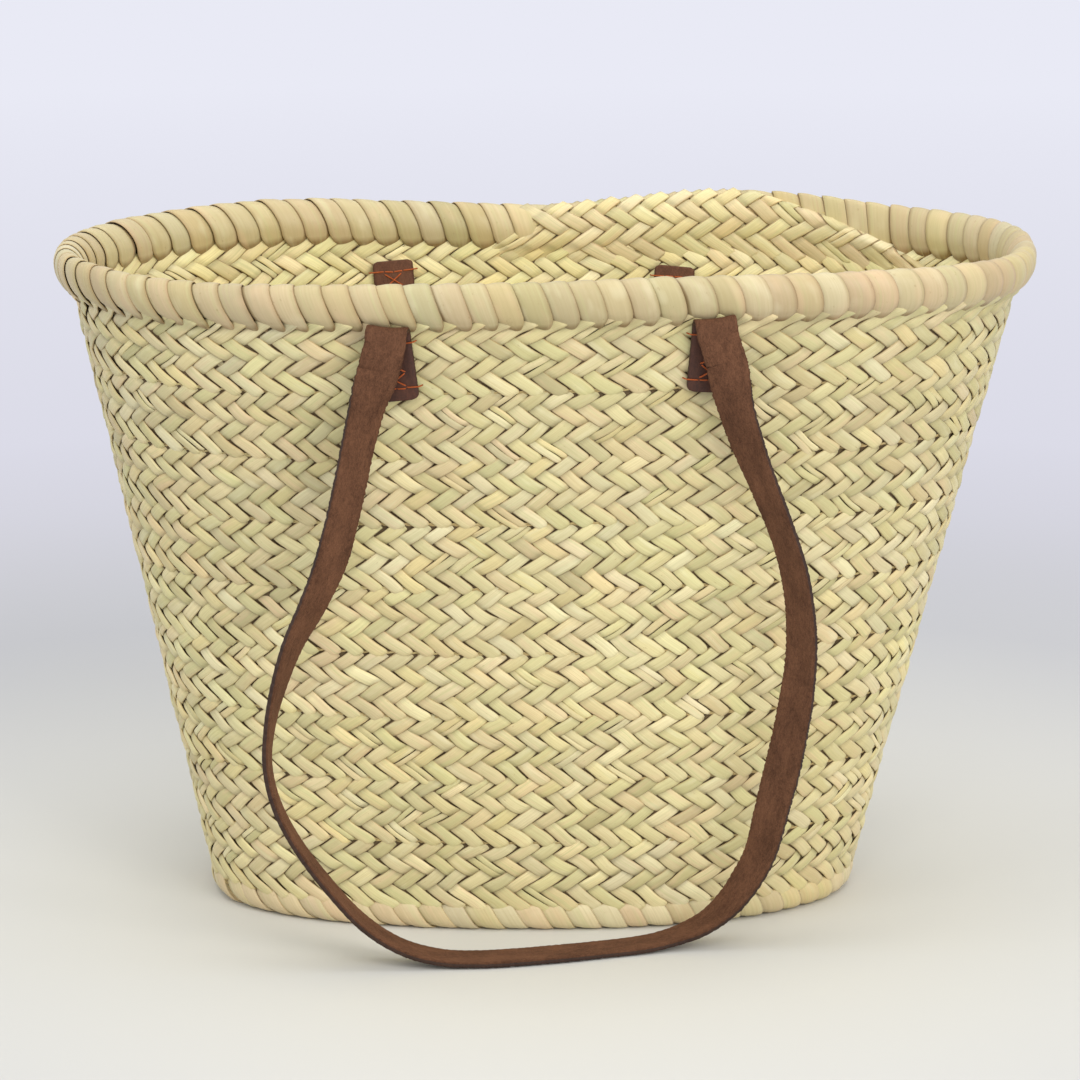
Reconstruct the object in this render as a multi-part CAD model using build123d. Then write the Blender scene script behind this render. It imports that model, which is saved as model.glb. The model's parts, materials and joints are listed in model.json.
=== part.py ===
from build123d import *
import math
import os

# Woven market basket: an oval body made of one plait wound in turns and laced
# edge to edge, a stiffened wrapped rim, and two long leather shoulder straps.
# Millimetres, +Z up, origin on the floor under the middle of the bottom.
# +X is to the right, -Y is the front.

# ---- driving dimensions -------------------------------------------------
BASE_HALF_LENGTH = 159.5      # wall half length at the floor, along X
BASE_HALF_WIDTH = 87.5        # wall half width at the floor, along Y
FLARE_LENGTH = 0.235          # growth of the half length per mm of height
FLARE_WIDTH = 0.118           # growth of the half width per mm of height
SHIFT_BASE = -4.0             # the body leans a little: its middle at the floor
SHIFT_TOP = 2.5               # and at the rim
SQUARE_LEFT_BASE = 2.5        # squareness of the oval, left and right, at the floor
SQUARE_RIGHT_BASE = 2.1
SQUARE_RIM = 2.35             # and at the rim
RIM_HEIGHT = 316.3            # height of the rim's middle
WALL_T = 4.5                  # plait thickness
SEAM_GAP = 2.6                # room between two turns, filled by the lacing cord
CORD_R = 1.1
FOOT_TOP = 12.4               # the foot turn shows up to here
TURNS = 9                     # wall turns
LAST_TURN_TOP = 312.0         # the last turn's edge ends inside the rim wrap
RIM_HALF_T = 7.0              # wrapped rim, half thickness
RIM_HALF_H = 10.5             # wrapped rim, half height
WRAP_T = 1.3                  # thickness of the wrapping strip
STRAP_W = 20.0                # leather strap
STRAP_T = 3.0
TAB_LENGTH = 33.0             # sewn end of a strap
TAB_T = 2.8
PATCH_W = 21.0
PATCH_LENGTH = 34.0
THREAD_R = 0.55

# The rim isn't level: its rise in mm every 10 degrees round the mouth,
# counted from +X over the back (+Y).
RIM_WAVE = [1.6, 2.5, 2.8, 2.8, 2.9, 4.2, 6.6, 6.2, 2.1, -1.3, -0.2, 1.5,
            3.4, 3.1, 1.8, 0.6, -0.6, -0.8, -1.0, -1.2, -1.5, -2.2, -3.5, -3.9,
            -2.9, -1.7, -0.8, 0.2, 1.7, 2.5, 2.2, 1.8, 1.2, 0.7, 0.6, 1.0]

STEPS = 72                    # points round each closed curve

os.makedirs("parts", exist_ok=True)


# ---- the oval body ------------------------------------------------------
def wave(th):
    n = len(RIM_WAVE)
    q = (th / (2 * math.pi) * n) % n
    i = int(math.floor(q))
    f = q - i
    p0, p1, p2, p3 = (RIM_WAVE[(i + k) % n] for k in (-1, 0, 1, 2))
    return 0.5 * (2 * p1 + (p2 - p0) * f + (2 * p0 - 5 * p1 + 4 * p2 - p3) * f * f
                  + (3 * p1 - p0 - 3 * p2 + p3) * f ** 3)


def oval(th, h, off):
    """Point of the body at angle th and height h, off mm outside the wall's
    outer face."""
    k = min(max(h / RIM_HEIGHT, 0.0), 1.0)
    left = SQUARE_LEFT_BASE + (SQUARE_RIM - SQUARE_LEFT_BASE) * k
    right = SQUARE_RIGHT_BASE + (SQUARE_RIM - SQUARE_RIGHT_BASE) * k
    n = left + (right - left) * (1 + math.cos(th)) / 2
    c, s = math.cos(th), math.sin(th)
    r = (abs(c) ** n + abs(s) ** n) ** (-1 / n)
    a = BASE_HALF_LENGTH + FLARE_LENGTH * h + off
    b = BASE_HALF_WIDTH + FLARE_WIDTH * h + off
    cx = SHIFT_BASE + (SHIFT_TOP - SHIFT_BASE) * k
    z = h + wave(th) * max(h, 0.0) ** 2 / RIM_HEIGHT ** 2
    return (cx + a * r * c, b * r * s, z)


def ring_edge(h, off):
    pts = [Vector(*oval(2 * math.pi * i / STEPS, h, off)) for i in range(STEPS)]
    return Edge.make_spline(pts, periodic=True)


def solid_from(faces):
    s = Solid(Shell(faces))
    if s.volume < 0:
        s = Solid(Shell([-f for f in faces]))
    return s


def band(section):
    """A closed ring whose cross-section is the polygon section, given as
    (height, offset) corners."""
    edges = [ring_edge(h, off) for h, off in section]
    k = len(edges)
    faces = [Face.make_surface_from_curves(edges[i], edges[(i + 1) % k]) for i in range(k)]
    return solid_from(faces)


def plait_section(h0, h1, out=0.0):
    """A flat plait standing in the wall, its two edges thinned."""
    t = WALL_T
    return [(h0, out - 1.1), (h0 + 1.4, out), (h1 - 1.4, out), (h1, out - 1.1),
            (h1, out - t + 1.1), (h1 - 1.4, out - t), (h0 + 1.4, out - t), (h0, out - t + 1.1)]


def cord_section(h, off, r=CORD_R):
    return [(h + r * math.sin(q), off + r * math.cos(q))
            for q in (2 * math.pi * i / 8 for i in range(8))]


nodes = {}

# ---- bottom: flat turns of the plait ------------------------------------
FOOT_IN = -11.0                      # inner edge of the foot turn at the floor
OUTER_OUT = FOOT_IN - SEAM_GAP
OUTER_IN = OUTER_OUT - 30.0
INNER_OUT = OUTER_IN - SEAM_GAP
INNER_IN = INNER_OUT - 27.8
CENTRE_OUT = INNER_IN - SEAM_GAP


def flat_turn(out, inn=None):
    holes = [Wire([ring_edge(0, inn)])] if inn is not None else []
    face = Face(Wire([ring_edge(0, out)]), holes)
    return extrude(face, amount=WALL_T, dir=(0, 0, 1)).solids()[0]


nodes["base_centre_plait"] = flat_turn(CENTRE_OUT)
nodes["base_inner_plait"] = flat_turn(INNER_OUT, INNER_IN)
nodes["base_outer_plait"] = flat_turn(OUTER_OUT, OUTER_IN)
for name, off in (("base_lacing_1", INNER_IN - SEAM_GAP / 2),
                  ("base_lacing_2", OUTER_IN - SEAM_GAP / 2),
                  ("base_lacing_3", FOOT_IN - SEAM_GAP / 2)):
    nodes[name] = band(cord_section(WALL_T / 2, off))

# ---- foot: the turn that bends from the bottom into the wall -------------
nodes["foot_plait"] = band([
    (0.0, FOOT_IN), (0.0, -8.0), (2.0, -3.6), (5.5, -1.0), (FOOT_TOP - 1.4, -0.1),
    (FOOT_TOP, -1.1), (FOOT_TOP, -3.4), (FOOT_TOP - 1.4, -4.6), (7.2, -5.3), (4.7, -8.0),
    (4.5, FOOT_IN)])

# ---- wall: nine turns ----------------------------------------------------
FIRST = FOOT_TOP + SEAM_GAP
PITCH = (305.0 - FIRST + SEAM_GAP) / TURNS
for k in range(TURNS):
    h0 = FIRST + k * PITCH
    h1 = LAST_TURN_TOP if k == TURNS - 1 else h0 + PITCH - SEAM_GAP
    nodes["wall_plait_%d" % (k + 1)] = band(plait_section(h0, h1))
    nodes["wall_lacing_%d" % (k + 1)] = band(cord_section(h0 - SEAM_GAP / 2, -WALL_T / 2))

# ---- rim: a bundle of stems and the strip wound round it ------------------
RIM_OFF = -1.2


def rim_point(deg, rx, rz):
    q = math.radians(deg)
    return (RIM_HEIGHT + rz * math.sin(q), RIM_OFF + rx * math.cos(q))


def open_angle(x, rx):
    return math.degrees(math.acos(x / rx))


def wrap_section():
    """A strip that goes over the core and down both faces of the last turn:
    an oval tube, open below where the turn comes in."""
    ro, zo = RIM_HALF_T, RIM_HALF_H
    ri, zi = RIM_HALF_T - WRAP_T, RIM_HALF_H - WRAP_T
    x_out, x_in = 1.6, -3.7
    a0, a1 = -open_angle(x_out, ro), 360 - open_angle(x_in, ro)
    b0, b1 = -open_angle(x_out, ri), 360 - open_angle(x_in, ri)
    n = 14
    outer = [rim_point(a0 + (a1 - a0) * i / n, ro, zo) for i in range(n + 1)]
    inner = [rim_point(b1 + (b0 - b1) * i / n, ri, zi) for i in range(n + 1)]
    return outer + inner


nodes["rim_wrap"] = band(wrap_section())
nodes["rim_core"] = band([(RIM_HEIGHT + 2.7 + 5.4 * math.sin(q), RIM_OFF + 4.7 * math.cos(q))
                          for q in (2 * math.pi * i / 10 for i in range(10))])


# ---- handles --------------------------------------------------------------
# A handle is worked out in its own frame, where its wall faces -Y. The back
# handle is the same thing turned half a turn about Z.
def wall_at(x, z, turned):
    """Point of the wall's outer face at x, z on the side the handle is on."""
    s = -1.0 if turned else 1.0
    th = -math.acos(max(-1.0, min(1.0, x / 235.0)))
    if turned:
        th += math.pi
    h = z
    for _ in range(60):
        p = oval(th, h, 0.0)
        q = oval(th + 1e-4, h, 0.0)
        th -= (s * p[0] - x) / (s * (q[0] - p[0]) / 1e-4)
        h -= p[2] - z
    p = oval(th, h, 0.0)
    return Vector(s * p[0], s * p[1], p[2])


def plate(top_at, width, length, thick, turned, gap, tilt, inside=False):
    """A flat leather piece on the wall, its lean and turn following the wall.
    top_at is the x, z of its top middle; tilt swings its lower end."""
    x, z = top_at
    xb = x + math.tan(math.radians(tilt)) * length
    top = wall_at(x, z, turned)
    bot = wall_at(xb, z - length, turned)
    xm, zm = (x + xb) / 2, z - length / 2
    along = (wall_at(xm + width / 2, zm, turned) - wall_at(xm - width / 2, zm, turned)).normalized()
    down = (bot - top).normalized()
    normal = down.cross(along).normalized()
    if normal.Y > 0:
        normal = -normal
    if inside:
        normal = -normal
    across = along
    down = (down - across * down.dot(across)).normalized()
    # keep the plate clear of the curved wall: measure how far the wall stands
    # proud of the plate's plane
    slope = math.tan(math.radians(tilt))
    need = 0.0
    samples = []
    for i in range(5):
        for j in range(5):
            u = (i / 4 - 0.5) * width
            v = j / 4 * length
            samples.append(wall_at(x + u + slope * v, z - v, turned))
    off = WALL_T if inside else 0.0
    plane_at = lambda p: (p - top).dot(normal)
    need = max(plane_at(p) for p in samples) + off + gap
    c = math.cos(math.radians(tilt))
    down_t = (down + across * slope).normalized()
    across_t = (across - down_t * across.dot(down_t)).normalized()
    start = top + normal * need
    w = across_t * (width / 2)
    pts = [start - w, start + w, start + w + down_t * length, start - w + down_t * length]
    body = extrude(Face(Wire.make_polygon(pts, close=True)), amount=thick, dir=normal).solids()[0]
    return body, (start + normal * thick, across_t, down_t, normal)


def thread(frame, a, b):
    """One run of thread on a leather face, between two points given across
    and down the face."""
    o, across, down, normal = frame
    lift = normal * (THREAD_R + 0.05)
    p = o + across * a[0] + down * a[1] + lift
    q = o + across * b[0] + down * b[1] + lift
    return Solid.make_cylinder(THREAD_R, (q - p).length, Plane(origin=p, z_dir=q - p))


def stitch_runs(frame, width, first, last):
    """A row across near each end and a line of zigzags up the middle."""
    runs = []
    w = width / 2 - 1.0
    for v in (first, last):
        runs.append(thread(frame, (-w, v), (-1.6, v)))
        runs.append(thread(frame, (1.6, v), (w, v)))
    n = 4
    step = (last - first - 2.4) / n
    for i in range(n):
        v0 = first + 1.2 + i * step + 0.7
        v1 = v0 + step - 1.4
        s = 1 if i % 2 == 0 else -1
        runs.append(thread(frame, (-4.2 * s, v0), (4.2 * s, v1)))
    return runs


# Middle line of the front strap from the left fold to the right fold, in
# x, y, z, with the strap's turn about its own line in degrees:
# 0 = its face to the front, 90 = its face to the inside of the loop.
STRAP_PATH = [
    (-80.2, -130.6, 270.3, 34), (-84.7, -132.2, 251.6, 41), (-88.6, -133.7, 232.9, 42),
    (-92.9, -135.1, 214.1, 42), (-98.2, -136.5, 195.2, 44), (-106.3, -138.0, 176.3, 52),
    (-115.8, -139.4, 157.4, 63), (-122.4, -140.4, 138.3, 73), (-126.9, -141.0, 119.0, 82),
    (-128.4, -141.7, 99.7, 88), (-124.4, -142.3, 80.3, 90), (-114.7, -142.9, 60.8, 90),
    (-100.6, -142.2, 40.8, 90), (-84.5, -141.0, 22.2, 90), (-66.6, -139.6, 9.6, 90),
    (-47.7, -138.2, 3.6, 90), (-28.6, -136.6, 2.2, 90), (-9.5, -133.0, 2.1, 90),
    (9.5, -127.8, 2.1, 90), (28.8, -121.6, 2.1, 90), (48.2, -114.9, 2.3, 89),
    (64.0, -110.6, 4.8, 86), (79.0, -109.6, 11.4, 78), (90.6, -110.9, 22.0, 66),
    (97.9, -112.4, 32.6, 58), (102.9, -113.9, 42.0, 53), (106.7, -115.6, 52.6, 48),
    (111.2, -119.0, 73.4, 43), (115.8, -121.4, 93.9, 41), (119.5, -123.4, 114.2, 41),
    (122.3, -125.4, 134.3, 45), (123.4, -127.0, 154.3, 50), (122.2, -127.3, 173.7, 53),
    (118.6, -127.6, 193.1, 55), (112.3, -128.0, 212.4, 54), (104.6, -128.3, 231.6, 50),
    (97.0, -128.7, 250.7, 43), (90.9, -129.2, 269.8, 33)]

ROOT_GAP = 1.0                # from each link's end to the second hinge
AXIS_OUT = 6.2                # fold axis outside the wall
LAYER = 0.8                   # inner face of the hanging layer outside the axis
ROOT_LEAN = math.tan(math.radians(20))   # the two ends hang apart

handles = {}


def make_handle(tag, turned, left, right, path, hinge2):
    """left, right: x, z of the fold axis over the two sewn ends, and the tilt
    of each end, all in the handle's own frame. hinge2: how far below the fold
    the strap bends again."""
    root_length = hinge2 - ROOT_GAP
    wl = wall_at(left[0], left[1], turned)
    wr = wall_at(right[0], right[1], turned)
    a = Vector(left[0], wl.Y - AXIS_OUT, left[1])
    b = Vector(right[0], wr.Y - AXIS_OUT, right[1])
    d = (b - a).normalized()
    out = Vector(d.Y, -d.X, 0).normalized()            # away from the wall
    up = out.cross(d).normalized()
    mine = {}
    tab_runs, patch_runs, ends = [], [], {}
    for name, origin, (x, z, tilt), lean in (("left", a, left, -1), ("right", b, right, 1)):
        tab, frame = plate((x, z + 1.4), STRAP_W, TAB_LENGTH, TAB_T, turned, 0.5, tilt)
        mine[name + "_tab"] = tab
        tab_runs += stitch_runs(frame, STRAP_W, 4.5, TAB_LENGTH - 6.0)
        patch, frame = plate((x, z + 1.0), PATCH_W, PATCH_LENGTH, 2.2, turned, 0.6, tilt, inside=True)
        mine[name + "_patch"] = patch
        patch_runs += stitch_runs(frame, PATCH_W, 5.5, PATCH_LENGTH - 5.0)
        o = origin + out * LAYER
        w = STRAP_W / 2
        s = lean * ROOT_LEAN * root_length
        pts = [o - d * w, o + d * w, o + d * (w + s) - up * root_length,
               o - d * (w - s) - up * root_length]
        mine[name + "_root"] = extrude(Face(Wire.make_polygon(pts, close=True)),
                                       amount=STRAP_T, dir=out).solids()[0]
        c = origin + out * (LAYER + STRAP_T / 2)
        ends[name] = c + d * (lean * ROOT_LEAN * (hinge2 + ROOT_GAP)) - up * (hinge2 + ROOT_GAP)

    # the loop: four corner curves along the strap, ruled faces between them
    mid = [ends["left"]] + [Vector(*p[:3]) for p in path] + [ends["right"]]
    turn = [0.0] + [p[3] for p in path] + [0.0]
    corners = [[], [], [], []]
    last = len(mid) - 1
    for i, p in enumerate(mid):
        if i == 0 or i == last:
            # both ends are cut level with the second hinge
            w = d * (STRAP_W / 2) * (1 if i == 0 else -1)
            n = out * (STRAP_T / 2)
        else:
            t = (mid[i + 1] - mid[i - 1]).normalized()
            depth = Vector(0, 1, 0)
            inner = t.cross(depth).normalized()         # to the inside of the loop
            if i == 1 and inner.X < 0:
                raise ValueError("loop runs the wrong way")
            q = math.radians(turn[i])
            w = inner * math.cos(q) + depth * math.sin(q)
            w = (w - t * w.dot(t)).normalized()
            n = t.cross(w).normalized() * (STRAP_T / 2)
            w = w * (STRAP_W / 2)
        corners[0].append(p - w - n)
        corners[1].append(p + w - n)
        corners[2].append(p + w + n)
        corners[3].append(p - w + n)
    edges = [Edge.make_spline(c) for c in corners]
    faces = [Face.make_surface_from_curves(edges[i], edges[(i + 1) % 4]) for i in range(4)]
    for e in (0, -1):
        faces.append(Face(Wire.make_polygon([c[e] for c in corners], close=True)))
    mine["strap"] = solid_from(faces)

    turn_round = Rot(0, 0, 180) if turned else Rot(0, 0, 0)
    swap = {"left": "right", "right": "left"} if turned else {}
    for name, s in mine.items():
        first = name.split("_")[0]
        name = name.replace(first, swap.get(first, first), 1)
        nodes["%s_%s" % (tag, name)] = (turn_round * s).solids()[0]
    nodes["%s_tab_stitching" % tag] = Compound(children=[turn_round * s for s in tab_runs])
    nodes["%s_patch_stitching" % tag] = Compound(children=[turn_round * s for s in patch_runs])
    spin = -1.0 if turned else 1.0
    fold = (a + b) * 0.5
    lean_at = fold + out * (LAYER + STRAP_T / 2) - up * hinge2
    handles[tag] = {"axis": (-d.X * spin, -d.Y * spin, -d.Z),
                    "fold": (fold.X * spin, fold.Y * spin, fold.Z),
                    "lean": (lean_at.X * spin, lean_at.Y * spin, lean_at.Z)}


make_handle("front_handle", False, (-70.0, 301.5, 6.7), (80.5, 305.6, -3.7), STRAP_PATH, 16.0)
# The back handle is sewn on a little lower and narrower.
BACK_PATH = [(x * 0.965 if x > 0 else x, y + 1.0, z - 8.4 * (z / 303.0) ** 1.5, q)
             for x, y, z, q in STRAP_PATH[1:-1]]
make_handle("back_handle", True, (-70.5, 293.5, 4.0), (77.0, 296.5, -4.0), BACK_PATH, 25.0)

for name, shape in nodes.items():
    export_step(shape, "parts/%s.step" % name)
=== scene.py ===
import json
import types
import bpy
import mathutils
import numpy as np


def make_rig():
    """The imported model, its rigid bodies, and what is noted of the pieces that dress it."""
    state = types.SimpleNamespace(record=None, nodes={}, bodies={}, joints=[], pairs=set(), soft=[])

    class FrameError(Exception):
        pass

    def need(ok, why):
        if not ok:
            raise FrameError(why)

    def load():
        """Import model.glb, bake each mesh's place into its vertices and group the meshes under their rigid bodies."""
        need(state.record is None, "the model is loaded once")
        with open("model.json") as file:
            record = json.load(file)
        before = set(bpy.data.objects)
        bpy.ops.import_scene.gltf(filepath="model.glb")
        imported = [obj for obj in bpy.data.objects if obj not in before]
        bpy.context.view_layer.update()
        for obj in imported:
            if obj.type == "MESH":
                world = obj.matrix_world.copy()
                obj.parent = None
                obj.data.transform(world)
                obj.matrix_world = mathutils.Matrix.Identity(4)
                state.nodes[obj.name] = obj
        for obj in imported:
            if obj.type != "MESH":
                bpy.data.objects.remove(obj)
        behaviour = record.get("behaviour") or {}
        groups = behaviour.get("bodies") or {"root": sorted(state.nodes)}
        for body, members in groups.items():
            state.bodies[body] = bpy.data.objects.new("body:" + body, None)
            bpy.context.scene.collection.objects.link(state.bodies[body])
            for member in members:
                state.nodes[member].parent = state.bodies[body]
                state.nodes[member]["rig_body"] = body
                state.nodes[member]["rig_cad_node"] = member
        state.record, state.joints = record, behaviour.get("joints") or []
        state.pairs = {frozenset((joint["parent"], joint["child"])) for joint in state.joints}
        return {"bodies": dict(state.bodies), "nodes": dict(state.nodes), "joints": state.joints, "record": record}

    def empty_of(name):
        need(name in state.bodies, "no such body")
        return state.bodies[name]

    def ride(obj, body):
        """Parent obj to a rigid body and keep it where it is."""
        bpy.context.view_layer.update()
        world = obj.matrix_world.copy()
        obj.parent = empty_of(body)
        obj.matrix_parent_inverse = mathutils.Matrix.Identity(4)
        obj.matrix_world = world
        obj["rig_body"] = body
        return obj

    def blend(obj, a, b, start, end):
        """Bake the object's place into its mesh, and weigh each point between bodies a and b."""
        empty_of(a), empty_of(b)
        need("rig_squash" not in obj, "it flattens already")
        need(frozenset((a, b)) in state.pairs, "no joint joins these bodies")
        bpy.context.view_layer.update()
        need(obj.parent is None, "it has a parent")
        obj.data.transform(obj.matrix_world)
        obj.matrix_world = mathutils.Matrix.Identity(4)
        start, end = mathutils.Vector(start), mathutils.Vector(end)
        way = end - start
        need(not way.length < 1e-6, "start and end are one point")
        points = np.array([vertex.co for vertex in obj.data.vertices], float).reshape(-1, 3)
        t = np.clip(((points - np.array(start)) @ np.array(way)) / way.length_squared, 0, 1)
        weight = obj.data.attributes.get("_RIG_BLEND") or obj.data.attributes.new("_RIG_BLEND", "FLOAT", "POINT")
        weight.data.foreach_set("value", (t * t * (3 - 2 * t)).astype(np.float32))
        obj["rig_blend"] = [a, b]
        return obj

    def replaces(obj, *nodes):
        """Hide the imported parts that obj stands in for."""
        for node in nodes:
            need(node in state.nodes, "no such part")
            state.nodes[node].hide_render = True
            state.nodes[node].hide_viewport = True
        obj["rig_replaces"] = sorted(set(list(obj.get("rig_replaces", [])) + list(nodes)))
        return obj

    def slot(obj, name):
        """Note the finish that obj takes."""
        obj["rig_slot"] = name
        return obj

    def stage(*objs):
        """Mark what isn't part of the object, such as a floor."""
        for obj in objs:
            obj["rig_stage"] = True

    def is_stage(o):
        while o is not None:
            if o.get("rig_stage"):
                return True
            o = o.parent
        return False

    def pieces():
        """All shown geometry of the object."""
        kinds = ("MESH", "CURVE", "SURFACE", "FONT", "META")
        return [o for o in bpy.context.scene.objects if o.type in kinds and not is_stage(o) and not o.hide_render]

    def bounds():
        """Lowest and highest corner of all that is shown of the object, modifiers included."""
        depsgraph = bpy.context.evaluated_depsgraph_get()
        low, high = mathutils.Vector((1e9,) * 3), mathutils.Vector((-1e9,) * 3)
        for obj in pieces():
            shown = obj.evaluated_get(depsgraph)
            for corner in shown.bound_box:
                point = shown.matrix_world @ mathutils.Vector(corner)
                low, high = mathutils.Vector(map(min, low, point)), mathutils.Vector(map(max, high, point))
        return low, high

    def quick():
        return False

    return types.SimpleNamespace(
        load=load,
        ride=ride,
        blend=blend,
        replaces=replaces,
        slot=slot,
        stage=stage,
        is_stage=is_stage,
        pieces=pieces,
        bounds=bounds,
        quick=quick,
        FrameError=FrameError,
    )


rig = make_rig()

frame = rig.load()

import json
import math

import bpy
import numpy as np
from mathutils import Vector

CAD_BOX = [list(map(float, c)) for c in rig.bounds()]
scene = bpy.context.scene
rng = np.random.default_rng(20417)
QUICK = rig.quick()

# =========================================================================
# The body's oval, in mm: the same figures as the CAD part
# =========================================================================
BASE_HALF_LENGTH, BASE_HALF_WIDTH = 159.5, 87.5
FLARE_LENGTH, FLARE_WIDTH = 0.235, 0.118
SHIFT_BASE, SHIFT_TOP = -4.0, 2.5
SQUARE_LEFT_BASE, SQUARE_RIGHT_BASE, SQUARE_RIM = 2.5, 2.1, 2.35
RIM_HEIGHT, WALL_T, SEAM_GAP = 316.3, 4.5, 2.6
FOOT_TOP, TURNS = 12.4, 9
RIM_HALF_T, RIM_HALF_H, RIM_OFF = 7.0, 10.5, -1.2
STRAP_W, STRAP_T, AXIS_OUT, LAYER = 20.0, 3.0, 6.2, 0.8
MID = -WALL_T / 2
RIM_WAVE = np.array([1.6, 2.5, 2.8, 2.8, 2.9, 4.2, 6.6, 6.2, 2.1, -1.3, -0.2, 1.5,
                     3.4, 3.1, 1.8, 0.6, -0.6, -0.8, -1.0, -1.2, -1.5, -2.2, -3.5, -3.9,
                     -2.9, -1.7, -0.8, 0.2, 1.7, 2.5, 2.2, 1.8, 1.2, 0.7, 0.6, 1.0])


def wave(th):
    n = len(RIM_WAVE)
    q = (th / (2 * math.pi) * n) % n
    i = np.floor(q).astype(int)
    f = q - i
    p0, p1, p2, p3 = (RIM_WAVE[(i + k) % n] for k in (-1, 0, 1, 2))
    return 0.5 * (2 * p1 + (p2 - p0) * f + (2 * p0 - 5 * p1 + 4 * p2 - p3) * f * f
                  + (3 * p1 - p0 - 3 * p2 + p3) * f ** 3)


def oval(th, h, off):
    th, h, off = np.broadcast_arrays(np.asarray(th, float), np.asarray(h, float), np.asarray(off, float))
    k = np.clip(h / RIM_HEIGHT, 0, 1)
    left = SQUARE_LEFT_BASE + (SQUARE_RIM - SQUARE_LEFT_BASE) * k
    right = SQUARE_RIGHT_BASE + (SQUARE_RIM - SQUARE_RIGHT_BASE) * k
    c, s = np.cos(th), np.sin(th)
    n = left + (right - left) * (1 + c) / 2
    r = (np.abs(c) ** n + np.abs(s) ** n) ** (-1 / n)
    a = BASE_HALF_LENGTH + FLARE_LENGTH * h + off
    b = BASE_HALF_WIDTH + FLARE_WIDTH * h + off
    cx = SHIFT_BASE + (SHIFT_TOP - SHIFT_BASE) * k
    z = h + wave(th) * np.maximum(h, 0) ** 2 / RIM_HEIGHT ** 2
    return np.stack([cx + a * r * c, b * r * s, z], -1)


class Profile:
    """A cross-section path (height, offset) by length, that the oval carries
    round."""

    def __init__(self, pts, smooth=0):
        p = np.array(pts, float)
        if smooth:
            for _ in range(smooth):
                q = np.empty((len(p) * 2 - 2, 2))
                q[0::2] = p[:-1] * 0.75 + p[1:] * 0.25
                q[1::2] = p[:-1] * 0.25 + p[1:] * 0.75
                p = np.vstack([p[:1], q, p[-1:]])
        self.p = p
        d = np.hypot(*(p[1:] - p[:-1]).T)
        self.q = np.concatenate([[0], np.cumsum(d)])
        self.length = self.q[-1]

    def at(self, q):
        q = np.asarray(q, float)
        lo = q < 0
        hi = q > self.length
        h = np.interp(q, self.q, self.p[:, 0])
        o = np.interp(q, self.q, self.p[:, 1])
        d0 = (self.p[1] - self.p[0]) / max(1e-9, self.q[1])
        d1 = (self.p[-1] - self.p[-2]) / max(1e-9, self.q[-1] - self.q[-2])
        h = h + np.where(lo, q * d0[0], 0) + np.where(hi, (q - self.length) * d1[0], 0)
        o = o + np.where(lo, q * d0[1], 0) + np.where(hi, (q - self.length) * d1[1], 0)
        return h, o


def carry(th, q, o, prof):
    """Point at angle th, q mm along the profile, o mm off it to its left side
    (outwards when the profile runs upwards)."""
    h, off = prof.at(q)
    p = oval(th, h, off)
    e = 2e-3
    pt = oval(th + e, h, off) - p
    h2, off2 = prof.at(np.asarray(q) + 0.25)
    h1, off1 = prof.at(np.asarray(q) - 0.25)
    pq = oval(th, h2, off2) - oval(th, h1, off1)
    n = np.cross(pt, pq)
    n /= np.maximum(np.linalg.norm(n, axis=-1, keepdims=True), 1e-9)
    return p + n * np.asarray(o)[..., None]


class Round:
    """Angle by length round the oval at one height."""

    def __init__(self, h, off):
        th = np.linspace(0, 2 * math.pi, 1441)
        p = oval(th, h, off)
        d = np.linalg.norm(p[1:] - p[:-1], axis=1)
        self.s = np.concatenate([[0], np.cumsum(d)])
        self.th = th
        self.length = self.s[-1]

    def angle(self, s):
        t = np.asarray(s) / self.length
        w = np.floor(t)
        return np.interp((t - w) * self.length, self.s, self.th) + w * 2 * math.pi

    def along(self, th):
        t = np.asarray(th) / (2 * math.pi)
        w = np.floor(t)
        return np.interp((t - w) * 2 * math.pi, self.th, self.s) + w * self.length


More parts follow.
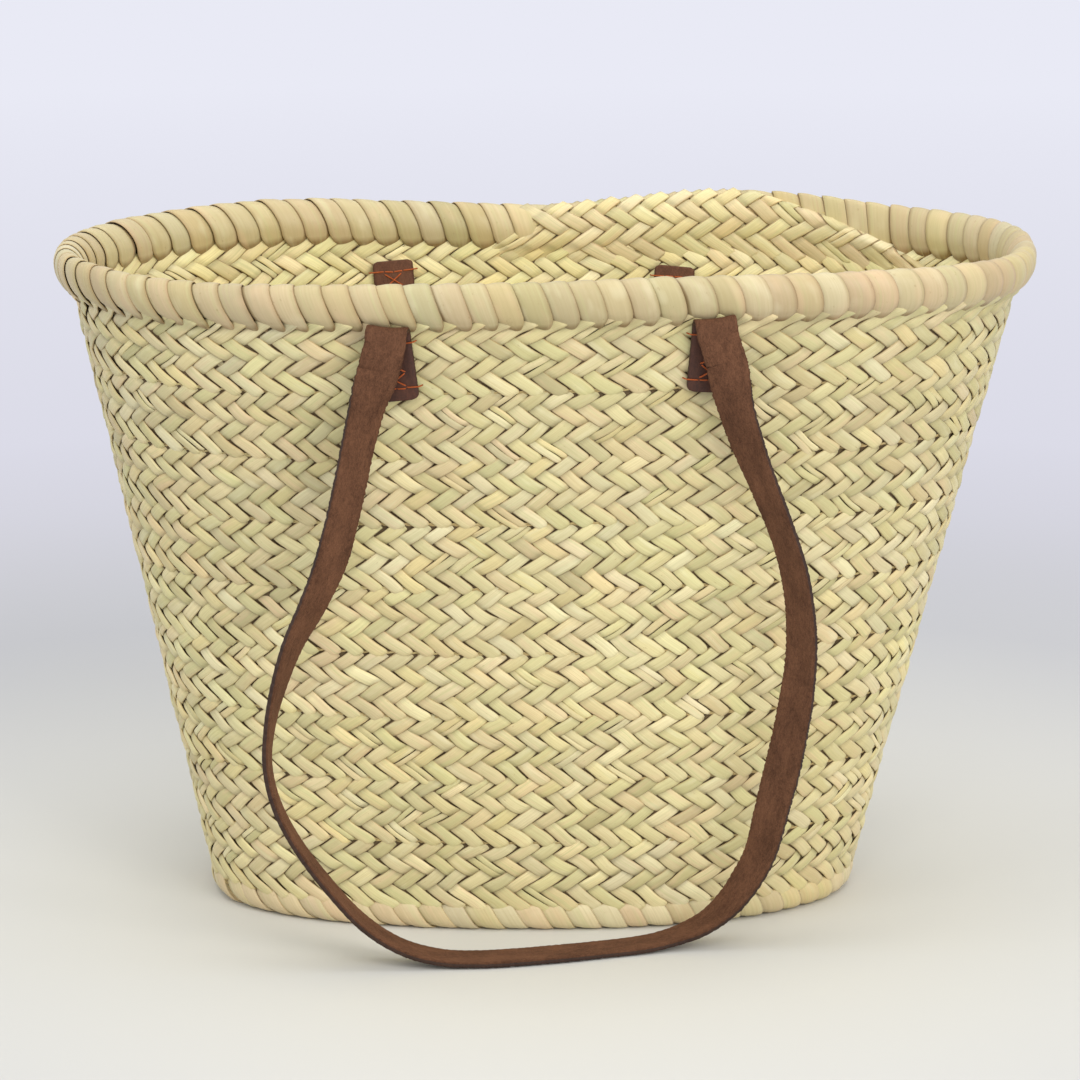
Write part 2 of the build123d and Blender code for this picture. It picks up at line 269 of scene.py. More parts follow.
# =========================================================================
# Mesh from closed strips: array (strips, steps, around, 3)
# =========================================================================
def strip_mesh(name, P, tint=None, sv=None, mat=None, caps=True, uv_grid=True, smooth=True):
    """P holds closed strips in mm. tint (strips, steps, around, 3) linear
    colour; sv (strips, steps, around, 3) strip coordinates for materials."""
    S, L, C, _ = P.shape
    vid = np.arange(S * L * C).reshape(S, L, C)
    a = vid[:, :-1, :]
    b = vid[:, 1:, :]
    a2 = np.roll(a, -1, axis=2)
    b2 = np.roll(b, -1, axis=2)
    quads = np.stack([a, a2, b2, b], -1).reshape(-1, 4)
    loops = [quads.ravel()]
    totals = [np.full(len(quads), 4)]
    if caps:
        c0 = vid[:, 0, ::-1].reshape(-1, C)
        c1 = vid[:, -1, :].reshape(-1, C)
        for c in (c0, c1):
            loops.append(c.ravel())
            totals.append(np.full(len(c), C))
    loops = np.concatenate(loops)
    totals = np.concatenate(totals)
    starts = np.concatenate([[0], np.cumsum(totals)[:-1]])
    me = bpy.data.meshes.new(name)
    me.vertices.add(S * L * C)
    me.vertices.foreach_set("co", (P.reshape(-1, 3) / 1000).astype(np.float32).ravel())
    me.loops.add(len(loops))
    me.loops.foreach_set("vertex_index", loops.astype(np.int32))
    me.polygons.add(len(totals))
    me.polygons.foreach_set("loop_start", starts.astype(np.int32))
    me.polygons.foreach_set("loop_total", totals.astype(np.int32))
    me.polygons.foreach_set("use_smooth", np.full(len(totals), smooth))
    if uv_grid:
        cols = max(1, int(round(math.sqrt(S * 0.17))))
        if L > 120:
            cols = 1
        rows = int(math.ceil(S / cols))
        si = np.arange(S)
        col, row = si % cols, si // cols
        u = (col[:, None] + 0.03 + 0.94 * np.linspace(0, 1, L)[None, :]) / cols
        seg = np.linalg.norm(np.roll(P, -1, axis=2)[:, L // 2] - P[:, L // 2], axis=-1)
        cum = np.concatenate([np.zeros((S, 1)), np.cumsum(seg, axis=1)], axis=1)
        cum = cum / cum[:, -1:]
        v = (row[:, None] + 0.06 + 0.88 * cum) / rows              # (S, C+1)
        uq = np.empty((S, L - 1, C, 4, 2), np.float32)
        uq[..., 0, 0] = u[:, :-1, None]
        uq[..., 1, 0] = u[:, :-1, None]
        uq[..., 2, 0] = u[:, 1:, None]
        uq[..., 3, 0] = u[:, 1:, None]
        uq[..., 0, 1] = v[:, None, :-1]
        uq[..., 1, 1] = v[:, None, 1:]
        uq[..., 2, 1] = v[:, None, 1:]
        uq[..., 3, 1] = v[:, None, :-1]
        parts = [uq.reshape(-1, 2)]
        if caps:
            c0 = np.stack([np.repeat(u[:, :1], C, 1) - 0.004 / cols * (np.arange(C) % 2)[None, :], v[:, :-1][:, ::-1]], -1)
            c1 = np.stack([np.repeat(u[:, -1:], C, 1) + 0.004 / cols * (np.arange(C) % 2)[None, :], v[:, :-1]], -1)
            parts += [c0.reshape(-1, 2), c1.reshape(-1, 2)]
        uv = me.uv_layers.new(name="OFBake")
        uv.data.foreach_set("uv", np.concatenate(parts).astype(np.float32).ravel())
    me.update(calc_edges=True)
    if tint is not None:
        col = me.color_attributes.new("tint", "FLOAT_COLOR", "POINT")
        rgba = np.ones((S * L * C, 4), np.float32)
        rgba[:, :3] = np.clip(tint.reshape(-1, 3), 0, 1)
        col.data.foreach_set("color", rgba.ravel())
    if sv is not None:
        at = me.attributes.new("sv", "FLOAT_VECTOR", "POINT")
        at.data.foreach_set("vector", sv.reshape(-1, 3).astype(np.float32).ravel())
    ob = bpy.data.objects.new(name, me)
    scene.collection.objects.link(ob)
    if mat is not None:
        me.materials.append(mat)
    return ob


def srgb(*c):
    c = np.array(c, float) / 255
    return np.where(c <= 0.04045, c / 12.92, ((c + 0.055) / 1.055) ** 2.4)


STRAW = np.array([srgb(228, 213, 166), srgb(212, 207, 148), srgb(226, 198, 158),
                  srgb(229, 208, 142), srgb(238, 228, 190), srgb(194, 188, 128),
                  srgb(216, 189, 140)])


def straw_tints(n, weights, gain=1.0, spread=0.07):
    """One base colour a strip."""
    w = np.array(weights, float)
    w /= w.sum()
    i = rng.choice(len(STRAW), n, p=w)
    j = rng.choice(len(STRAW), n, p=w)
    m = rng.random((n, 1)) * 0.6
    c = STRAW[i] * (1 - m) + STRAW[j] * m
    c = c * 0.50 + (STRAW * w[:, None]).sum(0) * 0.50
    return c * gain * (1 + rng.normal(0, spread, (n, 1))) * (1 + rng.normal(0, 0.012, (n, 3)))


# lens section of a flattened palm strip
VC = np.array([-1, -.82, -.38, .38, .82, 1, .82, .38, -.38, -.82])
ZC = np.array([0, .58, .95, .95, .58, 0, -.58, -.95, -.95, -.58])


def lattice(kind, prof, rnd, N, q0, dh, rows, wall, over=1.12, crown=0.78, per=4,
            ext=(0.62, 0.62), hold=(False, False), tints=None, only=None, seam=(False, False), mod=None):
    """Half of a two-over two-under plait: all strips that lean one way.
    Row k's middle is at q0 + (k + 0.5) dh along the profile; strip i sits at
    s = (i -+ k / 2) P."""
    P = rnd.length / N
    sgn = -1.0 if kind == "A" else 1.0
    idx = np.arange(N) if only is None else only
    split = rng.random(len(idx)) < 0.085
    ids, lat, wf = [], [], []
    for i, sp in zip(idx, split):
        if sp:
            f = rng.uniform(0.36, 0.64)
            ids += [i, i]
            lat += [-(1 - f), f]
            wf += [f * 0.97, (1 - f) * 0.97]
        else:
            ids.append(i)
            lat.append(rng.normal(0, 0.03))
            wf.append(rng.uniform(0.925, 1.0))
    ids, lat, wf = np.array(ids, float), np.array(lat), np.array(wf)
    n = len(ids)
    k0, k1 = -0.5 - ext[0], rows - 0.5 + ext[1]
    steps = int(round((k1 - k0) * per)) + 1
    kk = np.linspace(k0, k1, steps)
    norm = math.hypot(P / 2, dh)
    half = 0.5 * P * dh / norm
    ph = rng.random((n, 2)) * 6.28
    wob = 0.22 * np.sin(kk[None] * 1.1 + ph[:, :1]) + 0.12 * np.sin(kk[None] * 2.7 + ph[:, 1:])
    width = half * wf[:, None] * (1 + 0.035 * np.sin(kk[None] * 1.9 + ph[:, 1:] * 2))
    if hold[0] and kind == "A":
        t = np.clip((k0 + 0.5 - kk) / 0.5, 0, 1)[None]
        width = width * np.sqrt(np.clip(1 - ((0.93 if not seam[0] else 0.80) * t) ** 2.2, 0.05, 1))
    if hold[1] and kind == "B":
        t = np.clip((kk - k1 + 0.45) / 0.45, 0, 1)[None]
        width = width * np.sqrt(np.clip(1 - (t * 0.9) ** 2.4, 0.05, 1))
    S = ids[:, None] * P + sgn * kk[None] * P / 2
    Q = np.broadcast_to((kk[None] + 0.5) * dh, S.shape)
    wx, wq = dh / norm, -sgn * (P / 2) / norm
    across = (lat[:, None] * half + wob)[..., None] + width[..., None] * VC
    # ends cut along the other family
    cut = sgn * across / norm * (P / (4 * dh) - dh / P)
    s = S[..., None] + across * wx + sgn * cut * P / 2
    q = Q[..., None] + across * wq + cut * dh
    kh = q / dh - 0.5
    if kind == "A":
        keff = ids[:, None, None] - (s / P - kh / 2)
    else:
        keff = (s / P + kh / 2) - ids[:, None, None]
    kc = keff
    if hold[0]:
        kc = np.maximum(kc, 0.15)
    if hold[1] or (seam[1] and kind == "A"):
        kc = np.minimum(kc, rows - 1.15)
    g = np.cos(math.pi * (kc - 0.5) / 2)
    f = np.tanh(1.75 * g) / math.tanh(1.75)
    if kind == "B":
        f = -f
        if seam[1]:
            f = f - 0.75 * np.clip((keff - (rows - 1.15)) / 0.6, 0, 1) ** 2
    phase = (kc - (0.5 if kind == "A" else 2.5) + 2) % 4 - 2
    upper = np.clip(f, 0, 1)
    tilt = (-0.42 if kind == "A" else 0.14) * phase * upper
    if seam[0] and kind == "A":
        tilt = tilt + 0.30 * np.clip((0.2 - keff) / 0.9, 0, 1)
    lift = rng.normal(0, 0.09, (n, 1, 1)) + 0.07 * np.sin(kk[None, :, None] * 1.57 + ph[:, :1, None])
    side = rng.normal(0, 0.07, (n, 1, 1)) * VC
    cr = crown * (0.86 + 0.28 * rng.random((n, 1, 1))) * np.sqrt(np.clip(wf, 0.5, 1))[:, None, None]
    o = over * f + tilt + lift + side + cr * ZC
    # ends that stay on top are bent in at their very tip
    if hold[0] and kind == "A":
        o = o - (1.5 if not seam[0] else 0.9) * np.clip((k0 + 0.30 - kk) / 0.30, 0, 1)[None, :, None] ** 2
    if hold[1] and kind == "B":
        up = np.clip((kk - (rows - 1.2)) / 1.4, 0, 1)[None, :, None]
        o = o + 3.5 * up * up * (3 - 2 * up)
        o = o - 2.4 * np.clip((kk - k1 + 0.30) / 0.30, 0, 1)[None, :, None] ** 2
    if prof is WALL:
        th0 = s / rnd.length * 2 * math.pi
        hh = q0 + q
        s = s + 0.75 * np.sin(9 * th0 + hh * 0.045) + 0.5 * np.sin(23 * th0 - hh * 0.11)
        q = q + 0.45 * np.sin(13 * th0 + hh * 0.03 + q0) + 0.30 * np.sin(31 * th0 + q0 * 1.7) * np.sin(math.pi * np.clip((kh + 0.5) / rows, 0, 1))
        o = o + 0.22 * np.sin(17 * th0 + hh * 0.08) + 0.16 * np.sin(41 * th0 - hh * 0.17) + 0.30 * np.sin(math.pi * np.clip((kh + 0.5) / rows, 0, 1)) - 0.15
    if mod is not None:
        o = mod(rnd.angle(s), q0 + q, o)
    V = carry(rnd.angle(s), q0 + q, wall + o, prof)
    if tints is None:
        tints = straw_tints(n, [5, 4.2, 1.8, 1.6, 2.0, 1.4, 1.0])
    else:
        tints = tints(n)
    # painted shade: the strips that lean the other way (B) are made a little darker than the A strips
    shade = 1.0 if kind == "A" else 0.955
    # slow change along the strip, and painted shade where it goes under the crossing strips
    slow = 1 + 0.05 * np.sin(kk[None] * 0.8 + ph[:, 1:] * 3)
    T = tints[:, None, None, :] * (slow * shade)[..., None, None]
    T = T * (0.56 + 0.44 * np.clip(np.abs(f) * 1.25, 0, 1) ** 0.8)[..., None]
    # painted light: in the wall the inner face of each strip is made lighter
    T = T * (1 + 0.26 * (ZC < 0))[:, None] if prof is WALL else T
    along = np.broadcast_to((kk * norm)[None, :, None], o.shape)
    sv = np.stack([along + ids[:, None, None] * 53.1, np.broadcast_to(VC, o.shape) * (half * wf)[:, None, None],
                   np.broadcast_to(rng.random((n, 1, 1)) * 40 + (0 if kind == "A" else 60), o.shape)], -1)
    return V, np.broadcast_to(T, V.shape), sv


def resample(a, L):
    if a.shape[1] == L:
        return a
    x = np.linspace(0, a.shape[1] - 1, L)
    i = np.minimum(x.astype(int), a.shape[1] - 2)
    f = (x - i)[None, :, None, None]
    return a[:, i] * (1 - f) + a[:, i + 1] * f


def join(parts):
    L = max(p[0].shape[1] for p in parts)
    return [np.concatenate([resample(p[j], L) for p in parts], axis=0) for j in range(3)]


# =========================================================================
# Materials
# =========================================================================
class Nodes:
    def __init__(self, name):
        self.mat = bpy.data.materials.new(name)
        self.mat.use_nodes = True
        self.t = self.mat.node_tree
        self.t.nodes.clear()
        self.out = self.t.nodes.new("ShaderNodeOutputMaterial")
        self.b = self.t.nodes.new("ShaderNodeBsdfPrincipled")
        self.t.links.new(self.b.outputs["BSDF"], self.out.inputs["Surface"])

    def n(self, kind, **props):
        node = self.t.nodes.new("ShaderNode" + kind)
        for k, v in props.items():
            setattr(node, k, v)
        return node

    def link(self, a, b):
        self.t.links.new(a, b)

    def put(self, sock, value):
        if hasattr(value, "is_linked") or isinstance(value, bpy.types.NodeSocket):
            self.link(value, sock)
        else:
            sock.default_value = value

    def math(self, op, a, b=None, c=None, clamp=False):
        m = self.n("Math", operation=op, use_clamp=clamp)
        self.put(m.inputs[0], a)
        if b is not None:
            self.put(m.inputs[1], b)
        if c is not None:
            self.put(m.inputs[2], c)
        return m.outputs[0]

    def attr(self, name):
        return self.n("Attribute", attribute_name=name)

    def xyz(self, x, y, z):
        c = self.n("CombineXYZ")
        for i, v in enumerate((x, y, z)):
            self.put(c.inputs[i], v)
        return c.outputs[0]

    def sep(self, v):
        s = self.n("SeparateXYZ")
        self.link(v, s.inputs[0])
        return s.outputs

    def noise(self, vec, scale=1.0, detail=2.0, rough=0.5, dist=0.0):
        t = self.n("TexNoise")
        self.link(vec, t.inputs["Vector"])
        t.inputs["Scale"].default_value = scale
        t.inputs["Detail"].default_value = detail
        t.inputs["Roughness"].default_value = rough
        t.inputs["Distortion"].default_value = dist
        return t.outputs["Fac"]

    def map(self, v, a, b, c, d, clamp=True):
        m = self.n("MapRange", clamp=clamp)
        self.put(m.inputs["Value"], v)
        m.inputs["From Min"].default_value = a
        m.inputs["From Max"].default_value = b
        m.inputs["To Min"].default_value = c
        m.inputs["To Max"].default_value = d
        return m.outputs["Result"]

    def mix(self, fac, a, b, mode="MIX"):
        m = self.n("Mix", data_type="RGBA", blend_type=mode)
        self.put(m.inputs["Factor"], fac)
        self.put(m.inputs["A"] if False else m.inputs[6], a)
        self.put(m.inputs[7], b)
        return m.outputs[2]

    def bump(self, height, strength, dist, normal=None):
        b = self.n("Bump")
        b.inputs["Strength"].default_value = strength
        b.inputs["Distance"].default_value = dist
        self.link(height, b.inputs["Height"])
        if normal is not None:
            self.link(normal, b.inputs["Normal"])
        return b.outputs["Normal"]


def straw_material(name, streak=1.0, rough=0.52, edge=1.0):
    """Dried palm leaf: fine veins along the strip, blotches of cream, green
    and pink, browner edges, a soft waxy sheen."""
    m = Nodes(name)
    tint = m.attr("tint").outputs["Color"]
    x, y, z = m.sep(m.attr("sv").outputs["Vector"])
    fine = m.noise(m.xyz(m.math("MULTIPLY", x, 0.035), m.math("MULTIPLY", y, 2.6), z), 1.0, 4.0, 0.62)
    vein = m.noise(m.xyz(m.math("MULTIPLY", x, 0.012), m.math("MULTIPLY", y, 1.05), m.math("MULTIPLY", z, 1.7)), 1.0, 2.0, 0.5)
    blot = m.noise(m.xyz(m.math("MULTIPLY", x, 0.05), m.math("MULTIPLY", y, 0.22), m.math("MULTIPLY", z, 2.3)), 1.0, 2.0, 0.5)
    col = m.mix(m.map(fine, 0.32, 0.68, 0.34 * streak, 0.0), tint, (0.40, 0.31, 0.13, 1), "MIX")
    col = m.mix(m.map(vein, 0.52, 0.72, 0.0, 0.40 * streak), col, (0.52, 0.52, 0.24, 1), "MIX")
    col = m.mix(m.map(blot, 0.56, 0.76, 0.0, 0.38), col, (0.72, 0.50, 0.30, 1), "MIX")
    col = m.mix(m.map(blot, 0.42, 0.26, 0.0, 0.30), col, (0.80, 0.74, 0.48, 1), "MIX")
    # thin brown line down each edge
    ay = m.math("ABSOLUTE", y)
    line = m.math("MULTIPLY", m.map(ay, 2.75, 3.1, 0.0, 0.55 * edge), m.map(fine, 0.4, 0.6, 0.5, 1.0))
    col = m.mix(line, col, (0.40, 0.22, 0.09, 1), "MIX")
    # rare darker flecks
    speck = m.noise(m.xyz(m.math("MULTIPLY", x, 0.35), m.math("MULTIPLY", y, 1.2), z), 1.0, 2.0, 0.6)
    col = m.mix(m.map(speck, 0.68, 0.80, 0.0, 0.5), col, (0.32, 0.20, 0.08, 1), "MIX")
    m.link(col, m.b.inputs["Base Color"])
    m.put(m.b.inputs["Roughness"], m.map(fine, 0.3, 0.7, rough + 0.1, rough - 0.08))
    m.b.inputs["Specular IOR Level"].default_value = 0.35
    m.b.inputs["Sheen Weight"].default_value = 0.08
    h = m.math("ADD", m.math("MULTIPLY", fine, 0.7), m.math("MULTIPLY", vein, 0.6))
    m.link(m.bump(h, 0.55, 0.00022), m.b.inputs["Normal"])
    return m.mat


MAT_STRAW = straw_material("palm_leaf")
MAT_RIM = straw_material("palm_leaf_rim", streak=0.85, rough=0.47, edge=0.6)


def leather_material(name, dark, light, fuzz=1.0, rough=0.9, grain=False, spec=0.2):
    """Suede or grain leather: mottled tone, nap, fine pitting, worn edges."""
    m = Nodes(name)
    x, y, z = m.sep(m.attr("sv").outputs["Vector"])
    v = m.xyz(m.math("MULTIPLY", x, 0.55), y, z)
    big = m.noise(v, 0.11, 3.0, 0.6)
    mid = m.noise(v, 0.8, 3.0, 0.7)
    fine = m.noise(v, 2.6, 3.0, 0.75)
    tone = m.math("ADD", m.math("MULTIPLY", big, 0.30), m.math("ADD", m.math("MULTIPLY", mid, 0.28), m.math("MULTIPLY", fine, 0.42)))
    ramp = m.map(tone, 0.36, 0.63, 0.0, 1.0)
    col = m.mix(ramp, (*dark, 1), (*light, 1))
    edge = m.map(m.math("ABSOLUTE", y), 9.0, 10.2, 0.0, 0.45)
    col = m.mix(edge, col, (*(np.array(dark) * 0.55), 1))
    m.link(col, m.b.inputs["Base Color"])
    m.b.inputs["Roughness"].default_value = rough
    m.b.inputs["Specular IOR Level"].default_value = spec
    if not grain:
        m.b.inputs["Sheen Weight"].default_value = 0.35 * fuzz
        m.b.inputs["Sheen Roughness"].default_value = 0.55
        m.b.inputs["Sheen Tint"].default_value = (*light, 1)
    h = m.math("ADD", m.math("MULTIPLY", mid, 0.6), m.math("MULTIPLY", fine, 0.7))
    m.link(m.bump(h, 0.9 if not grain else 0.5, 0.0005 if not grain else 0.00025), m.b.inputs["Normal"])
    return m.mat


def thread_material(name, colour):
    m = Nodes(name)
    x, y, z = m.sep(m.attr("sv").outputs["Vector"])
    wv = m.math("SINE", m.math("ADD", m.math("MULTIPLY", x, 7.0), m.math("MULTIPLY", y, 3.0)))
    col = m.mix(m.map(wv, -1, 1, 0.0, 0.6), (*colour, 1), (*(np.array(colour) * 0.45), 1))
    m.link(col, m.b.inputs["Base Color"])
    m.b.inputs["Roughness"].default_value = 0.6
    m.link(m.bump(wv, 0.6, 0.0002), m.b.inputs["Normal"])
    return m.mat


MAT_SUEDE = leather_material("strap_suede", srgb(58, 35, 22), srgb(118, 80, 57))
MAT_GRAIN = leather_material("tab_grain", srgb(44, 22, 13), srgb(88, 50, 32), rough=0.55, grain=True, spec=0.4)
MAT_PATCH = leather_material("patch_leather", srgb(68, 40, 26), srgb(118, 78, 56), rough=0.75, grain=True, spec=0.3)
MAT_EDGE = leather_material("strap_grain_side", srgb(40, 24, 17), srgb(72, 46, 32), rough=0.6, grain=True, spec=0.35)
MAT_THREAD = thread_material("orange_waxed_thread", srgb(196, 92, 26))

# =========================================================================
# 1. The nine turns of plait in the wall
# =========================================================================
FIRST = 15.0
PITCH = (305 - 15 + 2.6) / TURNS
DH = PITCH / 8
WALL = Profile([(-5, 0), (330, 0)])


def wall_q(h):
    return h + 5.0


# light and dark bands seen from turn to turn, and the share of green and pink
TURN_TONE = [0.97, 1.0, 0.99, 1.02, 1.0, 0.99, 0.95, 0.93, 0.95]


def wall_tints(turn):
    def make(n):
        t = straw_tints(n, [5, 4.6 + 1.5 * (turn % 3 == 0), 1.5, 1.7, 2.0, 1.7, 1.1], TURN_TONE[turn - 1], 0.075)
        return t
    return make


for turn in range(1, TURNS + 1):
    h0 = FIRST - 1.3 + (turn - 1) * PITCH
    rows = 8
    rnd = Round(h0 + PITCH / 2, MID) if turn < TURNS else Round(RIM_HEIGHT, RIM_OFF + 4)
    N = int(round(rnd.length / 11.2)) if turn < TURNS else 94
    first, last = turn == 1, turn == TURNS
    parts = []
    for kind in ("A", "B"):
        parts.append(lattice(kind, WALL, rnd, N, wall_q(h0), DH, rows, MID,
                             ext=(0.75 if first else 0.38, (0.95 if kind == "B" else 0.3) if last else 0.75),
                             hold=(True, last), tints=wall_tints(turn), seam=(not first, not last)))
    V, T, sv = join(parts)
    ob = strip_mesh("wall_weave_%d" % turn, V, T, sv, MAT_STRAW)
    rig.ride(ob, "basket")
    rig.replaces(ob, "wall_plait_%d" % turn)
    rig.slot(ob, "plaited_palm")

# =========================================================================
# 2. The foot: short strips that lap each other and curve under
# =========================================================================
FOOT = Profile([(3.4, -17.0), (2.2, -12.0), (1.5, -7.0), (2.0, -3.4), (4.6, -1.4), (8.2, -1.1),
                (11.6, -1.9), (15.5, -3.6)], smooth=2)


def shingles(prof, rnd, N, q0, q1, shift, tints, width=0.62, lap=0.75, thick=0.62, steps=15,
             bend=0.0, ends=(0.6, 0.6), seed=0.0, narrow=(0.0, 0.0), crown=0.35, skip=None, jit=0.10):
    """Strips side by side along a profile, each lapping over the one before."""
    i = np.arange(N)
    P = rnd.length / N
    jt = rng.normal(0, jit, (N, 1))
    wv = width * (1 + rng.normal(0, 0.03, (N, 1)))
    t = np.linspace(0, 1, steps)[None]
    ctr = (i[:, None] + 0.5 + jt) * P
    a = shift(t)
    s0 = ctr + a + bend * np.sin(t * math.pi) + rng.normal(0, 0.25, (N, 1)) * t
    q = q0 + (q1 - q0) * t + 0 * s0
    w = wv * P * (1 - narrow[0] * np.clip(1 - t / 0.18, 0, 1) ** 2 - narrow[1] * np.clip((t - 0.82) / 0.18, 0, 1) ** 2)
    # direction across the strip, kept level with the oval
    sec = np.array([-1, -.9, -.55, 0, .55, .9, 1, .9, .55, 0, -.55, -.9])
    top = np.array([0, .6, .95, 1.0, .95, .6, 0, -.6, -.95, -1, -.95, -.6])
    s = s0[..., None] + w[..., None] * sec
    ds = np.gradient(a[0], t[0]) / (q1 - q0) if steps > 2 else 0
    qq = q[..., None] - w[..., None] * sec * np.clip(ds, -0.8, 0.8)[None, :, None] * 0.35
    o = lap * sec * 0.55 + thick * top + crown * (1 - sec ** 2)
    o = o + rng.normal(0, 0.12, (N, 1, 1)) + rng.normal(0, 0.10, (N, 1, 1)) * sec
    dive = np.clip(1 - t / 0.14, 0, 1) ** 1.5 * ends[0] + np.clip((t - 0.86) / 0.14, 0, 1) ** 1.5 * ends[1]
    o = o - dive[..., None]
    V = carry(rnd.angle(s), qq, o, prof)
    tt = tints(N)
    # painted shade: each strip darker on the side that lies under its neighbour, and where its ends dive under
    shade = 1 - 0.34 * np.clip(-sec, 0, 1) ** 2
    T = tt[:, None, None, :] * (shade * (1 - 0.30 * np.clip(dive, 0, 1)[..., None]))[..., None]
    sv = np.stack([np.broadcast_to(q[..., None] + i[:, None, None] * 37.0, o.shape),
                   np.broadcast_to(sec * 3.05, o.shape) * np.ones_like(o),
                   np.broadcast_to(rng.random((N, 1, 1)) * 30 + seed, o.shape)], -1)
    return V, np.broadcast_to(T, V.shape), sv


rnd = Round(7.0, -2.0)
N = int(round(rnd.length / 12.0))
V, T, sv = shingles(FOOT, rnd, N, 0.4, FOOT.length - 0.4, lambda t: 17.0 * (1 - t) - 7.5,
                    lambda n: straw_tints(n, [4, 0.8, 4.5, 1.4, 2.6, 0.3, 2.2], 0.86, 0.06),
                    width=0.60, lap=1.9, thick=0.5, steps=22, ends=(0.2, 2.2), crown=0.9,
                    narrow=(0.0, 0.55), seed=200, jit=0.05)
ob = strip_mesh("foot_weave", V, T, sv, MAT_RIM)
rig.ride(ob, "basket")
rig.replaces(ob, "foot_plait")
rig.slot(ob, "plaited_palm")

# =========================================================================
# 3. The flat bottom: two plaited turns round a plaited middle
# =========================================================================
for name, o0, o1, rows in (("base_outer_plait", -13.0, -44.6, 7), ("base_inner_plait", -45.4, -75.2, 7),
                           ("base_centre_plait", -76.0, -86.6, 3)):
    prof = Profile([(2.25, o0), (2.25, o1)])
    rnd = Round(2.25, (o0 + o1) / 2)
    N = int(round(rnd.length / 11.2))
    parts = [lattice(kind, prof, rnd, N, 0.0, prof.length / rows, rows, 0.0, over=0.98, crown=0.68,
                     ext=(0.45, 0.45) if rows == 7 else (0.35, 0.0),
                     tints=lambda n: straw_tints(n, [5, 3, 2, 2, 2, 1, 2], 0.96, 0.07)) for kind in ("A", "B")]
    V, T, sv = join(parts)
    ob = strip_mesh(name.replace("plait", "weave"), V, T, sv, MAT_STRAW)
    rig.ride(ob, "basket")
    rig.replaces(ob, name)
    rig.slot(ob, "plaited_palm")


# =========================================================================
# 4. Lacing cords between turns, and the rim's stem core
# =========================================================================
LAP_FROM, LAP_TO = 0.60, 1.62             # angle round the oval, right to left


def lap_room(th):
    # where the plait is carried up inside the rim the wraps lie flatter
    a = th % (2 * math.pi)
    up = np.clip((a - LAP_FROM) / 0.30, 0, 1)
    down = np.clip((LAP_TO - a) / 0.05, 0, 1)
    return up * up * (3 - 2 * up), down * down * (3 - 2 * down)


def pressed(V, th):
    up, down = lap_room(th)
    p = oval(th, V[..., 2], 0 * th)
    n = oval(th, V[..., 2], 0 * th + 1.0) - p
    off = ((V - p) * n).sum(-1)
    new = np.where(off < -2.6, -2.6 + (off + 2.6) * (1 - 0.60 * up * down), off)
    return V + (new - off)[..., None] * n


def ring_tube(h, off, r, steps, sides=7, twist=0.0, turns=0, phase=0.0, wander=0.0, ph=0.0, press=False):
    """Closed ring as one strip; its two ends meet."""
    th = np.linspace(0, 2 * math.pi, steps)
    c = phase + turns * th
    dh = twist * np.sin(c) + wander * np.sin(3 * th + ph)
    do = twist * np.cos(c) + wander * np.sin(4 * th + 2 * ph)
    p = oval(th, h + dh, off + do)
    if press:
        p = pressed(p, th)
    t = np.gradient(p, axis=0)
    t[0] = t[-1] = p[1] - p[-2]
    t /= np.linalg.norm(t, axis=1, keepdims=True)
    up = np.array([0, 0, 1.0])
    n = np.cross(t, up)
    n /= np.linalg.norm(n, axis=1, keepdims=True)
    b = np.cross(n, t)
    a = np.linspace(0, 2 * math.pi, sides, endpoint=False)
    ring = p[:, None] + r * (np.cos(a)[None, :, None] * n[:, None] - np.sin(a)[None, :, None] * b[:, None])
    q = np.concatenate([[0], np.cumsum(np.linalg.norm(p[1:] - p[:-1], axis=1))])
    sv = np.stack([np.broadcast_to(q[:, None], ring.shape[:2]), np.broadcast_to(np.sin(a) * r * 2.4, ring.shape[:2]),
                   np.full(ring.shape[:2], 7.0 + ph)], -1)
    return ring[None], sv[None]


def ring_piece(name, rings, node, slot_name, colour, mat):
    V = np.concatenate([r[0] for r in rings])
    sv = np.concatenate([r[1] for r in rings])
    tc = np.stack([colour * f for f in rng.uniform(0.85, 1.1, len(V))])
    T = np.broadcast_to(tc[:, None, None, :], V.shape)
    ob = strip_mesh(name, V, T, sv, mat)
    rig.ride(ob, "basket")
    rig.replaces(ob, node)
    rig.slot(ob, slot_name)
    return ob


CORD = srgb(176, 152, 100)
for turn in range(1, TURNS + 1):
    h = FIRST - 1.3 + (turn - 1) * PITCH
    n = int(Round(h, MID).length / 9)
    rings = [ring_tube(h, MID, 0.58, n * 8 + 1, 6, 0.45, n, math.pi * j) for j in (0, 1)]
    ring_piece("wall_cord_%d" % turn, rings, "wall_lacing_%d" % turn, "palm_cord", CORD, MAT_STRAW)
for j, (h, off) in enumerate(((2.25, -12.3), (2.25, -44.9), (2.25, -75.3))):
    n = int(Round(2.25, off).length / 9)
    rings = [ring_tube(h, off, 0.58, n * 8 + 1, 6, 0.45, n, math.pi * i) for i in (0, 1)]
    ring_piece("base_cord_%d" % (j + 1), rings, "base_lacing_%d" % (j + 1), "palm_cord", CORD, MAT_STRAW)
rings = []
for j in range(7):
    a = 2 * math.pi * j / 6
    dx, dz = (0, 0) if j == 6 else (2.5 * math.cos(a), 3.0 * math.sin(a))
    rings.append(ring_tube(RIM_HEIGHT + 2.7 + dz, RIM_OFF + dx, 1.35, 181, 7, wander=0.25, ph=j, press=True))
ring_piece("rim_stems", rings, "rim_core", "rim_stems", srgb(190, 170, 112), MAT_STRAW)

# =========================================================================
# 5. The rim's wraps
# =========================================================================
q = np.radians(np.linspace(228, -52, 30))
pts = [(RIM_HEIGHT + (RIM_HALF_H - 1.0) * math.sin(a), RIM_OFF + (RIM_HALF_T - 1.0) * math.cos(a)) for a in q]
RIM = Profile([(303.0, -2.6), (306.6, -4.4)] + pts[1:-1] + [(307.4, 0.9), (303.0, -2.2)], smooth=1)
